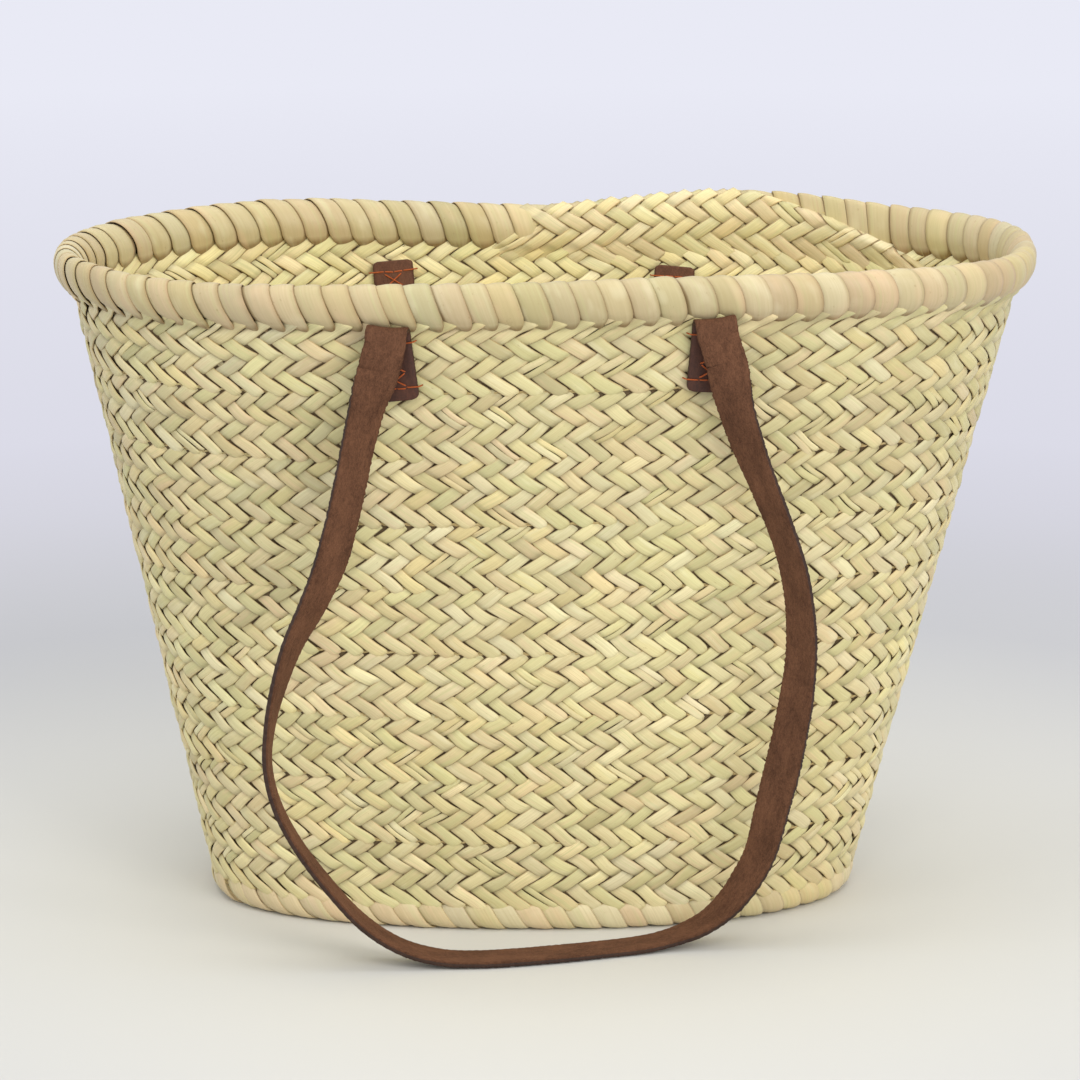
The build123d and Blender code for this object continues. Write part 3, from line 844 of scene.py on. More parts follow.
# the profile runs from inside over the top to outside, so its left is the
# inside of the tube: strips are raised to the other side
rnd = Round(RIM_HEIGHT, RIM_OFF + 4)
N = 94


def rim_shift(t):
    # from the inner lower end over the top to the outer lower end
    k = t
    return 17.5 * (k - 0.5) + 1.2 * np.sin((k - 0.5) * 2 * math.pi) + 2.0 * np.clip((k - 0.75) / 0.25, 0, 1) ** 2


class Flip:
    """An empty class that nothing uses; carry_rim turns the profile's raised side over."""


def carry_rim(th, qv, o, prof):
    return carry(th, qv, -o, prof)


def rim_wraps():
    i = np.arange(N)
    P = rnd.length / N
    steps = 34
    t = np.linspace(0, 1, steps)[None]
    jt = rng.normal(0, 0.045, (N, 1))
    # each wrap's outer end comes down between two ends of the top turn
    s0 = (i[:, None] + 0.5 + jt) * P + rim_shift(t) - rim_shift(np.ones(1)) + rng.normal(0, 0.35, (N, 1)) * (1 - t)
    qv = RIM.length * t + 0 * s0
    w = 0.60 * P * (1 + rng.normal(0, 0.035, (N, 1)))
    taper = 1 - 0.80 * np.clip((t - 0.80) / 0.20, 0, 1) ** 1.7 - 0.62 * np.clip((0.17 - t) / 0.17, 0, 1) ** 1.7
    w = w * taper
    sec = np.array([-1, -.94, -.72, -.60, -.3, 0, .35, .7, .94, 1, .94, .7, .35, 0, -.3, -.60, -.72, -.94])
    top = np.array([0, .6, .85, .92, 1, 1, 1, .9, .6, 0, -.6, -.9, -1, -1, -1, -.92, -.85, -.6])
    s = s0[..., None] + w[..., None] * sec
    o = 0.42 * top + 0.85 * sec + 0.75 * (1 - sec ** 2)
    o = o + rng.normal(0, 0.12, (N, 1, 1)) + rng.normal(0, 0.10, (N, 1, 1)) * sec
    dive = np.clip((t - 0.93) / 0.07, 0, 1) ** 1.5 + np.clip((0.07 - t) / 0.07, 0, 1) ** 1.5
    o = o - 1.2 * dive[..., None]
    # the slant of the strip's two edges, square to its run
    slope = np.gradient(rim_shift(t)[0], t[0]) / RIM.length
    qq = qv[..., None] - w[..., None] * sec * slope[None, :, None] * 0.30
    V = pressed(carry_rim(rnd.angle(s), qq, o, RIM), rnd.angle(s))
    tt = straw_tints(N, [5, 0.8, 3.6, 2.2, 1.2, 0.3, 3.4], 0.735, 0.05)
    # painted shadow beside the edge of the strip that laps over, a brown line along the raised edge, and painted shade
    # round the tucked ends
    joint = np.clip((-sec - 0.58) / 0.14, 0, 1) + 0.7 * np.clip((sec - 0.90) / 0.06, 0, 1)
    tip = np.clip((t - 0.885) / 0.05, 0, 1) + np.clip((0.115 - t) / 0.05, 0, 1)
    k = np.clip(joint[None, None, :] + tip[..., None], 0, 1) * rng.uniform(0.70, 1.0, (N, 1, 1))
    T = tt[:, None, None, :] * (1 - k[..., None]) + k[..., None] * tt[:, None, None, :] * np.array([0.40, 0.28, 0.18])
    T = T + np.zeros(V.shape)
    sv = np.stack([np.broadcast_to(qv[..., None] + i[:, None, None] * 41.0, o.shape),
                   np.broadcast_to(sec * 3.05, o.shape) * np.ones_like(o),
                   np.broadcast_to(rng.random((N, 1, 1)) * 30 + 300, o.shape)], -1)
    return V[:, :, ::-1], T[:, :, ::-1], sv[:, :, ::-1]


V, T, sv = rim_wraps()
ob = strip_mesh("rim_wraps", V, T, sv, MAT_RIM)
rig.ride(ob, "basket")
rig.replaces(ob, "rim_wrap")
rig.slot(ob, "rim_palm")

# Over one stretch at the back the plait is carried up inside the rim and
# hides the wraps from within; to the right it sinks back under them.
LAP = Profile([(297.0, -2.5), (302.0, -3.9), (307.5, -5.6), (312.0, -6.6), (317.0, -6.9),
               (321.5, -6.4), (325.0, -4.9), (327.0, -2.8)], smooth=1)


def lap_sink(th, q, o):
    k = np.clip((th % (2 * math.pi) - LAP_FROM) / (LAP_TO - LAP_FROM), 0, 1)
    edge = 2.0 + (LAP.length + 3.0) * np.clip(k * 1.75, 0, 1) ** 0.9
    over = np.clip((q - edge + 2.5) / 3.4, 0, 1)
    swell = np.clip((q - 3.0) / 13.0, 0, 1)
    return o - 4.2 * (1 - lap_room(th)[0]) * swell + 6.8 * over * over * (3 - 2 * over)


rnd = Round(RIM_HEIGHT, RIM_OFF + 4)
a0, a1 = (int(rnd.along(v) / rnd.length * 94) for v in (LAP_FROM, LAP_TO))
parts = []
for kind in ("A", "B"):
    cut = 3 if kind == "A" else -3
    only = np.arange(a0 + max(cut, 0) - 1, a1 + max(cut, 0) + (0 if kind == "A" else -2))
    parts.append(lattice(kind, LAP, rnd, 94, 0.0, 4.2, 7, 0.0, over=1.0, crown=0.72, ext=(0.4, 0.35),
                         hold=(True, False), seam=(False, True), only=only, mod=lap_sink,
                         tints=lambda n: straw_tints(n, [5, 3.0, 2.2, 1.6, 2, 1, 1.4], 1.08, 0.06)))
V, T, sv = join(parts)
ob = strip_mesh("rim_lap_weave", V, T, sv, MAT_STRAW)
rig.ride(ob, "basket")
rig.slot(ob, "plaited_palm")

# A dark sheet between the two plies of strips: painted shade that shows through the gaps between the floats.
PLY_SHADE = Nodes("painted_ply_shade")
n1 = PLY_SHADE.noise(PLY_SHADE.n("NewGeometry").outputs["Position"], 700.0, 3.0, 0.6)
PLY_SHADE.link(PLY_SHADE.mix(n1, (0.055, 0.034, 0.014, 1), (0.15, 0.10, 0.045, 1)), PLY_SHADE.b.inputs["Base Color"])
PLY_SHADE.b.inputs["Roughness"].default_value = 0.9
th = np.linspace(0, 2 * math.pi, 401)
hh = np.linspace(14.0, 303.0, 64)
up = np.concatenate([hh, hh[::-1]])
oo = np.concatenate([np.full(64, 0.12), np.full(64, -0.12)])
V = carry(th[:, None] + 0 * up[None], wall_q(up)[None] + 0 * th[:, None], MID + oo[None] + 0 * th[:, None], WALL)[None]
if np.cross(V[0, 1, 5] - V[0, 0, 5], V[0, 0, 6] - V[0, 0, 5]).dot(V[0, 0, 5] * [1, 1, 0]) > 0:
    V = V[:, :, ::-1]
ob = strip_mesh("wall_ply_shadow", V, None, None, PLY_SHADE.mat)
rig.ride(ob, "basket")
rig.slot(ob, "plaited_palm")

# =========================================================================
# 6. Handles
# =========================================================================
STRAP_PATH = [
    (-80.2, -130.6, 270.3, 34), (-84.7, -132.2, 251.6, 41), (-88.6, -133.7, 232.9, 42),
    (-92.9, -135.1, 214.1, 42), (-98.2, -136.5, 195.2, 44), (-106.3, -138.0, 176.3, 52),
    (-115.8, -139.4, 157.4, 63), (-122.4, -140.4, 138.3, 73), (-126.9, -141.0, 119.0, 82),
    (-128.4, -141.7, 99.7, 88), (-124.4, -142.3, 80.3, 90), (-114.7, -142.9, 60.8, 90),
    (-100.6, -142.2, 40.8, 90), (-84.5, -141.0, 22.2, 90), (-66.6, -139.6, 9.6, 90),
    (-47.7, -138.2, 3.6, 90), (-28.6, -136.6, 2.2, 90), (-9.5, -133.0, 2.1, 90),
    (9.5, -127.8, 2.1, 90), (28.8, -121.6, 2.1, 90), (48.2, -114.9, 2.3, 89),
    (64.0, -110.6, 4.8, 86), (79.0, -109.6, 11.4, 78), (90.6, -110.9, 22.0, 66),
    (97.9, -112.4, 32.6, 58), (102.9, -113.9, 42.0, 53), (106.7, -115.6, 52.6, 48),
    (111.2, -119.0, 73.4, 43), (115.8, -121.4, 93.9, 41), (119.5, -123.4, 114.2, 41),
    (122.3, -125.4, 134.3, 45), (123.4, -127.0, 154.3, 50), (122.2, -127.3, 173.7, 53),
    (118.6, -127.6, 193.1, 55), (112.3, -128.0, 212.4, 54), (104.6, -128.3, 231.6, 50),
    (97.0, -128.7, 250.7, 43), (90.9, -129.2, 269.8, 33)]
TAB_LENGTH, TAB_T, PATCH_W, PATCH_LENGTH = 33.0, 2.8, 21.0, 34.0
LEAN = math.tan(math.radians(20))


def unit(v):
    return v / np.linalg.norm(v)


def wall_at(x, z, turned):
    s = -1.0 if turned else 1.0
    th = -math.acos(max(-1.0, min(1.0, x / 235.0)))
    if turned:
        th += math.pi
    h = z
    for _ in range(60):
        p = oval(th, h, 0.0)
        q = oval(th + 1e-4, h, 0.0)
        th -= (s * p[0] - x) / (s * (q[0] - p[0]) / 1e-4)
        h -= p[2] - z
    p = oval(th, h, 0.0)
    return np.array([s * p[0], s * p[1], p[2]])


def plate_frame(top_at, width, length, thick, turned, gap, tilt, inside=False):
    x, z = top_at
    k = math.tan(math.radians(tilt))
    xb = x + k * length
    top = wall_at(x, z, turned)
    bot = wall_at(xb, z - length, turned)
    xm, zm = (x + xb) / 2, z - length / 2
    along = unit(wall_at(xm + width / 2, zm, turned) - wall_at(xm - width / 2, zm, turned))
    down = unit(bot - top)
    normal = unit(np.cross(down, along))
    if normal[1] > 0:
        normal = -normal
    if inside:
        normal = -normal
    down = unit(down - along * down.dot(along))
    samples = [wall_at(x + (i / 4 - 0.5) * width + k * j / 4 * length, z - j / 4 * length, turned)
               for i in range(5) for j in range(5)]
    need = max((p - top).dot(normal) for p in samples) + (WALL_T if inside else 0.0) + gap
    down_t = unit(down + along * k)
    across_t = unit(along - down_t * along.dot(down_t))
    start = top + normal * need
    return start + normal * thick, across_t, down_t, normal      # outer face's top middle


def spline(points, n):
    """Catmull-Rom through rows of numbers, evenly spaced by length of the
    first three columns."""
    p = np.array(points, float)
    p = np.vstack([2 * p[0] - p[1], p, 2 * p[-1] - p[-2]])
    out = []
    for i in range(1, len(p) - 2):
        t = np.linspace(0, 1, 12, endpoint=False)[:, None]
        p0, p1, p2, p3 = p[i - 1], p[i], p[i + 1], p[i + 2]
        out.append(0.5 * (2 * p1 + (p2 - p0) * t + (2 * p0 - 5 * p1 + 4 * p2 - p3) * t ** 2
                          + (3 * p1 - p0 - 3 * p2 + p3) * t ** 3))
    out.append(p[-2][None])
    d = np.vstack(out)
    q = np.concatenate([[0], np.cumsum(np.linalg.norm(np.diff(d[:, :3], axis=0), axis=1))])
    s = np.linspace(0, q[-1], n)
    return np.stack([np.interp(s, q, d[:, j]) for j in range(d.shape[1])], 1), s


def ribbon_section(rows=9):
    """Unit section of a strap: (across -1..1, depth -1..1, face). Rounded
    edges; face 1 on the n side, -1 on the other."""
    out = []
    a = np.linspace(-1, 1, rows)
    for x in a:
        out.append((x * 0.955, 1.0 if abs(x) < 1 else 0.93))
    for q in (60, 25, -25, -60):
        out.append((0.972 + 0.028 * math.cos(math.radians(q)), math.sin(math.radians(q)) * 0.86))
    for x in a[::-1]:
        out.append((x * 0.955, -1.0 if abs(x) < 1 else -0.93))
    for q in (-60, -25, 25, 60):
        out.append((-0.972 - 0.028 * math.cos(math.radians(q)), math.sin(math.radians(q)) * 0.86))
    return np.array(out)


SEC = ribbon_section(11)


def ribbon(p, w, n, half_w, half_t, along, seed, end0=0.0, end1=0.0, rough_edge=0.16, puff=0.0):
    """Closed strap strip from centre points p, unit across w, unit face
    normal n. end0/end1: corner radius at each end."""
    L = len(p)
    hw = np.broadcast_to(np.asarray(half_w, float), (L,)).copy()
    ht = np.broadcast_to(np.asarray(half_t, float), (L,)).copy()
    if end0:
        d = np.clip(1 - (along - along[0]) / end0, 0, 1)
        hw -= end0 * (1 - np.sqrt(np.clip(1 - d * d, 0, 1)))
    if end1:
        d = np.clip(1 - (along[-1] - along) / end1, 0, 1)
        hw -= end1 * (1 - np.sqrt(np.clip(1 - d * d, 0, 1)))
    rough_edge = np.broadcast_to(np.asarray(rough_edge, float), (L,))
    e = rough_edge * (np.sin(along * 1.7 + seed) * 0.5 + np.sin(along * 4.1 + seed * 2) * 0.3 + rng.normal(0, 0.35, L))
    e2 = rough_edge * (np.sin(along * 1.3 + seed * 3) * 0.5 + np.sin(along * 3.7 + seed) * 0.3 + rng.normal(0, 0.35, L))
    x = SEC[:, 0][None] * hw[:, None] + np.where(SEC[:, 0] > 0.8, 1, 0)[None] * e[:, None] - np.where(SEC[:, 0] < -0.8, 1, 0)[None] * e2[:, None]
    z = SEC[:, 1][None] * ht[:, None]
    z = z + np.where(SEC[:, 1] > 0.5, 1, 0)[None] * puff * (1 - SEC[:, 0][None] ** 2)
    V = p[:, None] + w[:, None] * x[..., None] + n[:, None] * z[..., None]
    sv = np.stack([np.broadcast_to(along[:, None], x.shape), x, z + seed * 11], -1)
    return V[None], sv[None]


def ribbon_piece(name, V, sv, mats, face_mat):
    """face_mat: for each of the section's columns, its material index."""
    ob = strip_mesh(name, V, None, sv, None)
    for m in mats:
        ob.data.materials.append(m)
    S, L, C, _ = V.shape
    idx = np.broadcast_to(np.asarray(face_mat)[None], (L - 1, C)).ravel()
    idx = np.concatenate([np.tile(idx, S), np.zeros(2 * S, int)])
    ob.data.polygons.foreach_set("material_index", idx.astype(np.int32))
    return ob


def tube(points, r, sides=8, seed=0.0):
    p, s = points
    t = np.gradient(p, axis=0)
    t /= np.linalg.norm(t, axis=1, keepdims=True)
    ref = np.array([0.31, 0.52, 0.79])
    n = np.cross(t, ref)
    n /= np.linalg.norm(n, axis=1, keepdims=True)
    b = np.cross(n, t)
    a = np.linspace(0, 2 * math.pi, sides, endpoint=False)
    r = np.broadcast_to(np.asarray(r, float), (len(p),))
    V = p[:, None] + r[:, None, None] * (np.cos(a)[None, :, None] * n[:, None] - np.sin(a)[None, :, None] * b[:, None])
    sv = np.stack([np.broadcast_to(s[:, None], V.shape[:2]), np.broadcast_to(a, V.shape[:2]), np.full(V.shape[:2], seed)], -1)
    return V, sv


def stitches(frame, width, first, last, seed):
    """Rows across near both ends and crosses up the middle, as sagging runs
    of thread that dive into the leather at each end."""
    o, across, down, normal = frame
    w = width / 2 - 1.0
    runs = []
    for v in (first, last):
        for a, b in ((-w - 1.4, -w * 0.50), (-w * 0.50, 0.0), (0.0, w * 0.50), (w * 0.50, w + 1.4)):
            runs.append(((a + 0.25, v + rng.normal(0, 0.15)), (b - 0.25, v + rng.normal(0, 0.15)), 0.25))
    over = len(runs)
    n = 3
    step = (last - first - 1.6) / n
    for i in range(n):
        v0 = first + 0.8 + i * step
        v1 = v0 + step
        j = rng.normal(0, 0.25, 4)
        runs.append(((-4.6 + j[0], v0 + 0.3), (4.6 + j[1], v1 - 0.3), 0.30))
        runs.append(((4.6 + j[2], v0 + 0.3), (-4.6 + j[3], v1 - 0.3), 0.62))
    V, S = [], []
    for k, (a, b, lift) in enumerate(runs):
        t = np.linspace(0, 1, 11)[:, None]
        ends = np.clip(np.minimum(t, 1 - t) / 0.16, 0, 1)
        h = -0.35 + (0.35 + lift) * np.sin(ends * math.pi / 2)
        side = -1 if a[0] < -w - 1 else (1 if b[0] > w + 1 else 0)
        if k < over and side:
            # the outer run laps over the leather's edge and goes into the plait
            a = (a[0] - (1.9 if side < 0 else 0), a[1])
            b = (b[0] + (1.9 if side > 0 else 0), b[1])
            e = t if side > 0 else 1 - t
            h = 0.30 - 2.5 * np.clip((e - 0.68) / 0.32, 0, 1) ** 2 - 0.6 * np.clip(1 - e / 0.16, 0, 1) ** 2
        p = o + across * (a[0] + (b[0] - a[0]) * t) + down * (a[1] + (b[1] - a[1]) * t) + normal * h
        s = t[:, 0] * np.linalg.norm(p[-1] - p[0])
        v, sv = tube((p, s), 0.36, 8, seed + k)
        V.append(v)
        S.append(sv)
    return np.array(V), np.array(S)


def build_handle(tag, turned, left, right, path, hinge2):
    wl, wr = wall_at(left[0], left[1], turned), wall_at(right[0], right[1], turned)
    a = np.array([left[0], wl[1] - AXIS_OUT, left[1]])
    b = np.array([right[0], wr[1] - AXIS_OUT, right[1]])
    d = unit(b - a)
    out = unit(np.array([d[1], -d[0], 0.0]))
    up = unit(np.cross(out, d))
    spin = -1.0 if turned else 1.0
    turn_round = np.array([spin, spin, 1.0])
    swap = {"left": "right", "right": "left"} if turned else {"left": "left", "right": "right"}
    tab_t, patch_t, ends = [], [], {}
    overlap = hinge2 * 0.55
    for name, origin, (x, z, tilt), lean in (("left", a, left, -1), ("right", b, right, 1)):
        seed = 3.0 + 7 * turned
        f_o, f_a, f_d, f_n = frame_t = plate_frame((x, z + 1.4), STRAP_W, TAB_LENGTH, TAB_T, turned, 0.5, tilt)
        tv = stitches(frame_t, STRAP_W, 5.0, TAB_LENGTH - 6.0, seed)
        tab_t.append(tv)
        # tab from its lower end up, over the fold, then down the root
        rows = []
        for s in np.linspace(TAB_LENGTH, 4.0, 12):
            rows.append([*(f_o - f_n * TAB_T / 2 + f_d * s), *f_a, *f_n, TAB_T / 2])
        root_c = lambda v, origin=origin, lean=lean: origin + out * (LAYER + STRAP_T / 2) + d * lean * (1.2 + 0.28 * v) - up * v
        root_dir = unit(d * lean * 0.28 - up)
        root_w = unit(d - root_dir * d.dot(root_dir))
        top_tab = f_o - f_n * TAB_T / 2 + f_d * 4.0
        p_root = root_c(2.5)
        mid = (top_tab + p_root) / 2
        for q in (25, 55, 90, 125, 155):
            k = (1 - math.cos(math.radians(q))) / 2
            base = top_tab * (1 - k) + p_root * k
            rise = math.sin(math.radians(q)) * 5.6
            wdir = unit(f_a * (1 - k) + root_w * k)
            nrm = unit(f_n * math.cos(math.radians(q)) * -1 + up * math.sin(math.radians(q)))
            rows.append([*(base + up * rise), *wdir, *(-nrm if False else nrm * -1), 1.45])
        for v in np.linspace(2.5, overlap, 5):
            rows.append([*root_c(v), *root_w, *(-out), STRAP_T / 2])
        R, s = spline(rows, 84)
        w = R[:, 3:6]
        t = np.gradient(R[:, :3], axis=0)
        t /= np.linalg.norm(t, axis=1, keepdims=True)
        w = w - t * np.sum(w * t, 1, keepdims=True)
        w /= np.linalg.norm(w, axis=1, keepdims=True)
        n = np.cross(t, w)
        if n[0].dot(f_n) < 0:
            n = -n
        half = np.interp(s, [0, TAB_LENGTH - 6, TAB_LENGTH + 4, s[-1]], [9.95, 9.9, 9.75, 9.6])
        along = s - s[-1]
        gone = np.clip((along + 5.0) / 5.0, 0, 1)
        V, sv = ribbon(R[:, :3], w, n, half * (1 - 0.03 * gone), R[:, 9] * (1 - 0.16 * gone), along, seed, end0=3.2, rough_edge=0.10)
        # frame handedness: the section must run the right way round
        if np.cross(w[40], n[40]).dot(t[40]) > 0:
            V, sv = V[:, :, ::-1], sv[:, :, ::-1]
            cols = (SEC[:, 1] + np.roll(SEC[:, 1], -1))[::-1] / 2
            cols = np.roll(cols, -1)
        else:
            cols = (SEC[:, 1] + np.roll(SEC[:, 1], -1)) / 2
        fm = np.where(cols > 0.5, 0, np.where(cols < -0.5, 1, 2))
        V = V * turn_round
        real = swap[name]
        ob = ribbon_piece("%s_%s_end" % (tag, real), V, sv, [MAT_GRAIN, MAT_SUEDE, MAT_EDGE], fm)
        wall_p = wall_at(x, z - 2, turned)
        u_dir = out
        at = lambda u: Vector(((wall_p + u_dir * u) * turn_round / 1000).tolist())
        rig.replaces(ob, "%s_%s_tab" % (tag, real), "%s_%s_root" % (tag, real))
        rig.slot(ob, "dark_leather")
        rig.blend(ob, "basket", "%s_roots" % tag, at(3.6), at(6.6))
        # patch behind the stitching, inside the wall
        frame_p = plate_frame((x, z + 1.0), PATCH_W, PATCH_LENGTH, 2.2, turned, 0.6, tilt, inside=True)
        po, pa, pd, pn = frame_p
        ss = np.linspace(0, PATCH_LENGTH, 46)
        p = po - pn * 1.1 + pd * ss[:, None]
        V, sv = ribbon(p, np.tile(pa, (46, 1)), np.tile(pn, (46, 1)), PATCH_W / 2 - 0.05, 1.1, ss, seed + 5, 2.5, 2.5, 0.10, puff=0.15)
        if np.cross(pa, pn).dot(pd) > 0:
            V, sv = V[:, :, ::-1], sv[:, :, ::-1]
        ob = ribbon_piece("%s_%s_backing" % (tag, real), V * turn_round, sv, [MAT_PATCH], np.zeros(len(SEC), int))
        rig.ride(ob, "basket")
        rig.replaces(ob, "%s_%s_patch" % (tag, real))
        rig.slot(ob, "backing_leather")
        patch_t.append(stitches(frame_p, PATCH_W, 5.5, PATCH_LENGTH - 5.0, seed + 50))
        ends[name] = (root_c, root_w)
    for what, lists in (("tab", tab_t), ("patch", patch_t)):
        V = np.concatenate([t[0] for t in lists]) * turn_round
        sv = np.concatenate([t[1] for t in lists])
        ob = strip_mesh("%s_%s_thread" % (tag, what), V, None, sv, MAT_THREAD)
        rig.ride(ob, "basket")
        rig.replaces(ob, "%s_%s_stitching" % (tag, what))
        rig.slot(ob, "orange_thread")

    # the strap: from one root's lower half round to the other's
    rows = []
    v_end = hinge2 + 1.0
    mids = [ends["left"][0](v_end)] + [np.array(p[:3]) for p in path] + [ends["right"][0](v_end)]
    turns_ = [0.0] + [p[3] for p in path] + [0.0]
    last = len(mids) - 1
    frames = []
    for i, p in enumerate(mids):
        if i in (0, last):
            w = (ends["left"][1] if i == 0 else -ends["right"][1])
        else:
            t = unit(mids[i + 1] - mids[i - 1])
            inner = unit(np.cross(t, np.array([0, 1.0, 0])))
            q = math.radians(turns_[i])
            w = inner * math.cos(q) + np.array([0, 1.0, 0]) * math.sin(q)
            w = unit(w - t * w.dot(t))
        frames.append([*p, *w])
    start, end = [], []
    for v in np.linspace(overlap - 5.0, hinge2 - 1.5, 5):
        c, w = ends["left"][0](v), ends["left"][1]
        start.append([*c, *w])
        c, w = ends["right"][0](v), ends["right"][1]
        end.append([*c, *(-w)])
    R, s = spline(start + frames + end[::-1], 1180)
    t = np.gradient(R[:, :3], axis=0)
    t /= np.linalg.norm(t, axis=1, keepdims=True)
    w = R[:, 3:6] - t * np.sum(R[:, 3:6] * t, 1, keepdims=True)
    w /= np.linalg.norm(w, axis=1, keepdims=True)
    n = np.cross(t, w)
    half = 9.75 + 0.15 * np.sin(s * 0.07) + 0.1 * np.sin(s * 0.19 + 1)
    come = np.clip(np.minimum(s, s[-1] - s) / 5.0, 0, 1)
    V, sv = ribbon(R[:, :3], w, n, half * (0.97 + 0.03 * come), STRAP_T / 2 * 0.98 * (0.84 + 0.16 * come), s - 5.0, 3.0 + 7 * turned,
                   rough_edge=0.34 * come)
    # columns: +n side first
    cols = (SEC[:, 1] + np.roll(SEC[:, 1], -1)) / 2
    if np.cross(w[40], n[40]).dot(t[40]) > 0:
        V, sv = V[:, :, ::-1], sv[:, :, ::-1]
        cols = np.roll(cols[::-1], -1)
    # which side is the suede: the one that faces the viewer where the strap hangs
    k = 60
    facing = n[k][1] < 0
    suede_plus = facing
    fm = np.where(cols > 0.5, 0 if suede_plus else 1, np.where(cols < -0.5, 1 if suede_plus else 0, 1))
    ob = ribbon_piece("%s_loop_strap" % tag, V * turn_round, sv, [MAT_SUEDE, MAT_EDGE], fm)
    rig.replaces(ob, "%s_strap" % tag)
    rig.slot(ob, "strap_leather")
    fold = (a + b) / 2
    at = lambda v: Vector(((fold + out * (LAYER + 1.5) - up * v) * turn_round / 1000).tolist())
    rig.blend(ob, "%s_roots" % tag, "%s_loop" % tag, at(hinge2 - 7.0), at(hinge2 + 7.0))
    return R, w, n, s


BACK_PATH = [(x * 0.965 if x > 0 else x, y + 1.0, z - 8.4 * (z / 303.0) ** 1.5, q)
             for x, y, z, q in STRAP_PATH[1:-1]]
build_handle("front_handle", False, (-70.0, 301.5, 6.7), (80.5, 305.6, -3.7), STRAP_PATH, 16.0)
build_handle("back_handle", True, (-70.5, 293.5, 4.0), (77.0, 296.5, -4.0), BACK_PATH, 25.0)

# =========================================================================
# Floor, light, camera
# =========================================================================
floor = Nodes("studio_paper")
geo = floor.n("NewGeometry")
px, py, pz = floor.sep(geo.outputs["Position"])
rad = floor.math("SQRT", floor.math("ADD", floor.math("MULTIPLY", px, px), floor.math("MULTIPLY", py, py)))
# painted light: the paper is warmer and lighter near the object and greyer further out
paper_painted_light = floor.mix(floor.map(rad, 0.22, 0.58, 0.0, 1.0), (0.665, 0.652, 0.605, 1), (0.50, 0.50, 0.51, 1))
grain = floor.noise(geo.outputs["Position"], 60.0, 2.0)
paper_painted_light = floor.mix(floor.map(grain, 0.3, 0.7, 0.0, 0.015), paper_painted_light, (0.6, 0.6, 0.6, 1))
floor.link(paper_painted_light, floor.b.inputs["Base Color"])
floor.b.inputs["Roughness"].default_value = 0.75
floor.b.inputs["Specular IOR Level"].default_value = 0.2
# away from the object the paper glows evenly into the backdrop
FAR, WALL_LOW, WALL_HIGH = srgb(203, 203, 209), srgb(219, 219, 231), srgb(233, 234, 245)
glow = floor.n("Emission")
gcol = floor.mix(floor.map(rad, 0.5, 1.15, 0.0, 1.0), (*FAR, 1), (*WALL_LOW, 1))
gcol = floor.mix(floor.map(rad, 1.1, 3.2, 0.0, 1.0), gcol, (*WALL_HIGH, 1))
floor.link(gcol, glow.inputs["Color"])
shade_mix = floor.n("MixShader")
fade = floor.n("MapRange", interpolation_type="SMOOTHSTEP")
floor.link(rad, fade.inputs["Value"])
fade.inputs["From Min"].default_value = 0.42
fade.inputs["From Max"].default_value = 0.95
floor.link(fade.outputs["Result"], shade_mix.inputs[0])
floor.link(floor.b.outputs["BSDF"], shade_mix.inputs[1])
floor.link(glow.outputs["Emission"], shade_mix.inputs[2])
floor.link(shade_mix.outputs[0], floor.out.inputs["Surface"])

rings_r = [0.0, 0.3, 0.6, 1.0, 1.6, 2.6, 5.0, 12.0, 40.0]
vs, fs = [(0, 0, 0)], []
for r in rings_r[1:]:
    vs += [(r * math.cos(a), r * math.sin(a), 0) for a in (2 * math.pi * i / 64 for i in range(64))]
for i in range(64):
    j = (i + 1) % 64
    fs.append((0, 1 + i, 1 + j))
    for k in range(len(rings_r) - 2):
        fs.append((1 + k * 64 + i, 1 + (k + 1) * 64 + i, 1 + (k + 1) * 64 + j, 1 + k * 64 + j))
me = bpy.data.meshes.new("paper_floor")
me.from_pydata(vs, [], fs)
me.materials.append(floor.mat)
sweep = bpy.data.objects.new("paper_floor", me)
scene.collection.objects.link(sweep)
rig.stage(sweep)

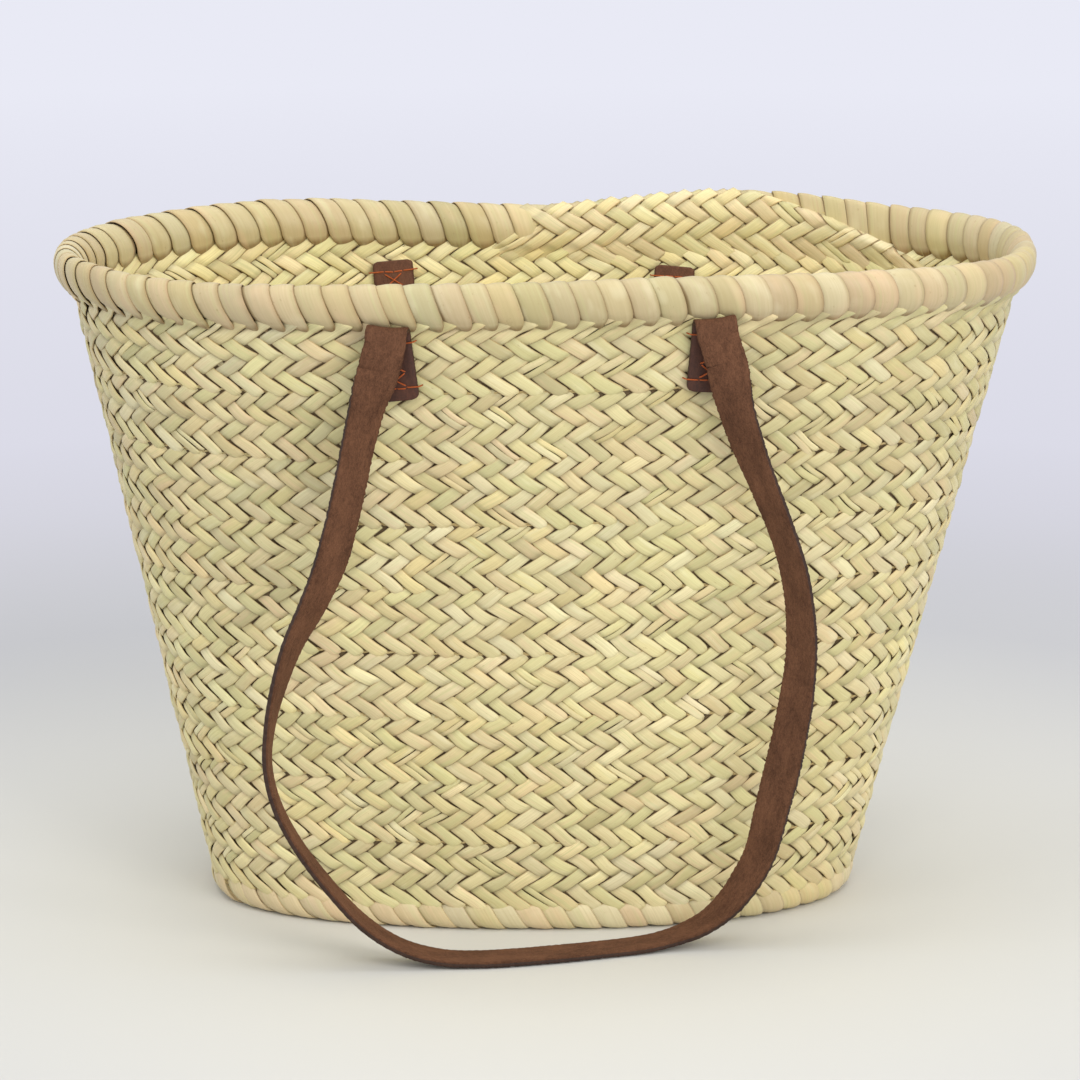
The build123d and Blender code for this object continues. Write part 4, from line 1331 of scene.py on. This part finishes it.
world = bpy.data.worlds.new("studio")
scene.world = world
world.use_nodes = True
wt = world.node_tree
bg = wt.nodes["Background"]
bg.inputs["Color"].default_value = (0.95, 0.97, 1.0, 1)
bg.inputs["Strength"].default_value = 0.74
seen = wt.nodes.new("ShaderNodeBackground")
seen.inputs["Color"].default_value = (*WALL_HIGH, 1)
path_node = wt.nodes.new("ShaderNodeLightPath")
wmix = wt.nodes.new("ShaderNodeMixShader")
wt.links.new(path_node.outputs["Is Camera Ray"], wmix.inputs[0])
wt.links.new(bg.outputs[0], wmix.inputs[1])
wt.links.new(seen.outputs[0], wmix.inputs[2])
wt.links.new(wmix.outputs[0], wt.nodes["World Output"].inputs["Surface"])


def area(name, loc, target, size, power, colour=(1, 1, 1)):
    li = bpy.data.lights.new(name, "AREA")
    li.shape = "RECTANGLE"
    li.size, li.size_y = size
    li.energy = power
    li.color = colour
    ob = bpy.data.objects.new(name, li)
    ob.location = loc
    ob.rotation_euler = (Vector(target) - Vector(loc)).to_track_quat("-Z", "Y").to_euler()
    scene.collection.objects.link(ob)
    return ob


area("soft_right", (1.7, -2.3, 1.25), (0, 0, 0.12), (1.5, 1.5), 38, (1.0, 0.98, 0.94))
area("soft_front_top", (0.3, -2.6, 2.3), (0, 0, 0.15), (2.0, 1.2), 24, (1.0, 0.99, 0.97))
area("soft_left", (-2.3, -1.2, 1.5), (0, 0, 0.15), (1.5, 1.8), 15, (0.94, 0.97, 1.0))
area("soft_over", (0, 0.2, 2.6), (0, 0, 0.0), (2.6, 2.2), 26, (1, 1, 1))

cam = bpy.data.cameras.new("view")
cam.sensor_width = 36.0
cam.lens = 151.12
cam_ob = bpy.data.objects.new("view", cam)
cam_ob.location = (0.0, -2.2, 0.6795)
cam_ob.rotation_euler = (math.pi / 2 - 0.225, 0, 0)
scene.collection.objects.link(cam_ob)
scene.camera = cam_ob
scene.view_settings.view_transform = "Standard"
scene.view_settings.look = "None"

MADE_BOX = [list(map(float, c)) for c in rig.bounds()]
with open("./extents.json", "w") as f:
    json.dump({"cad": CAD_BOX, "model": MADE_BOX}, f)
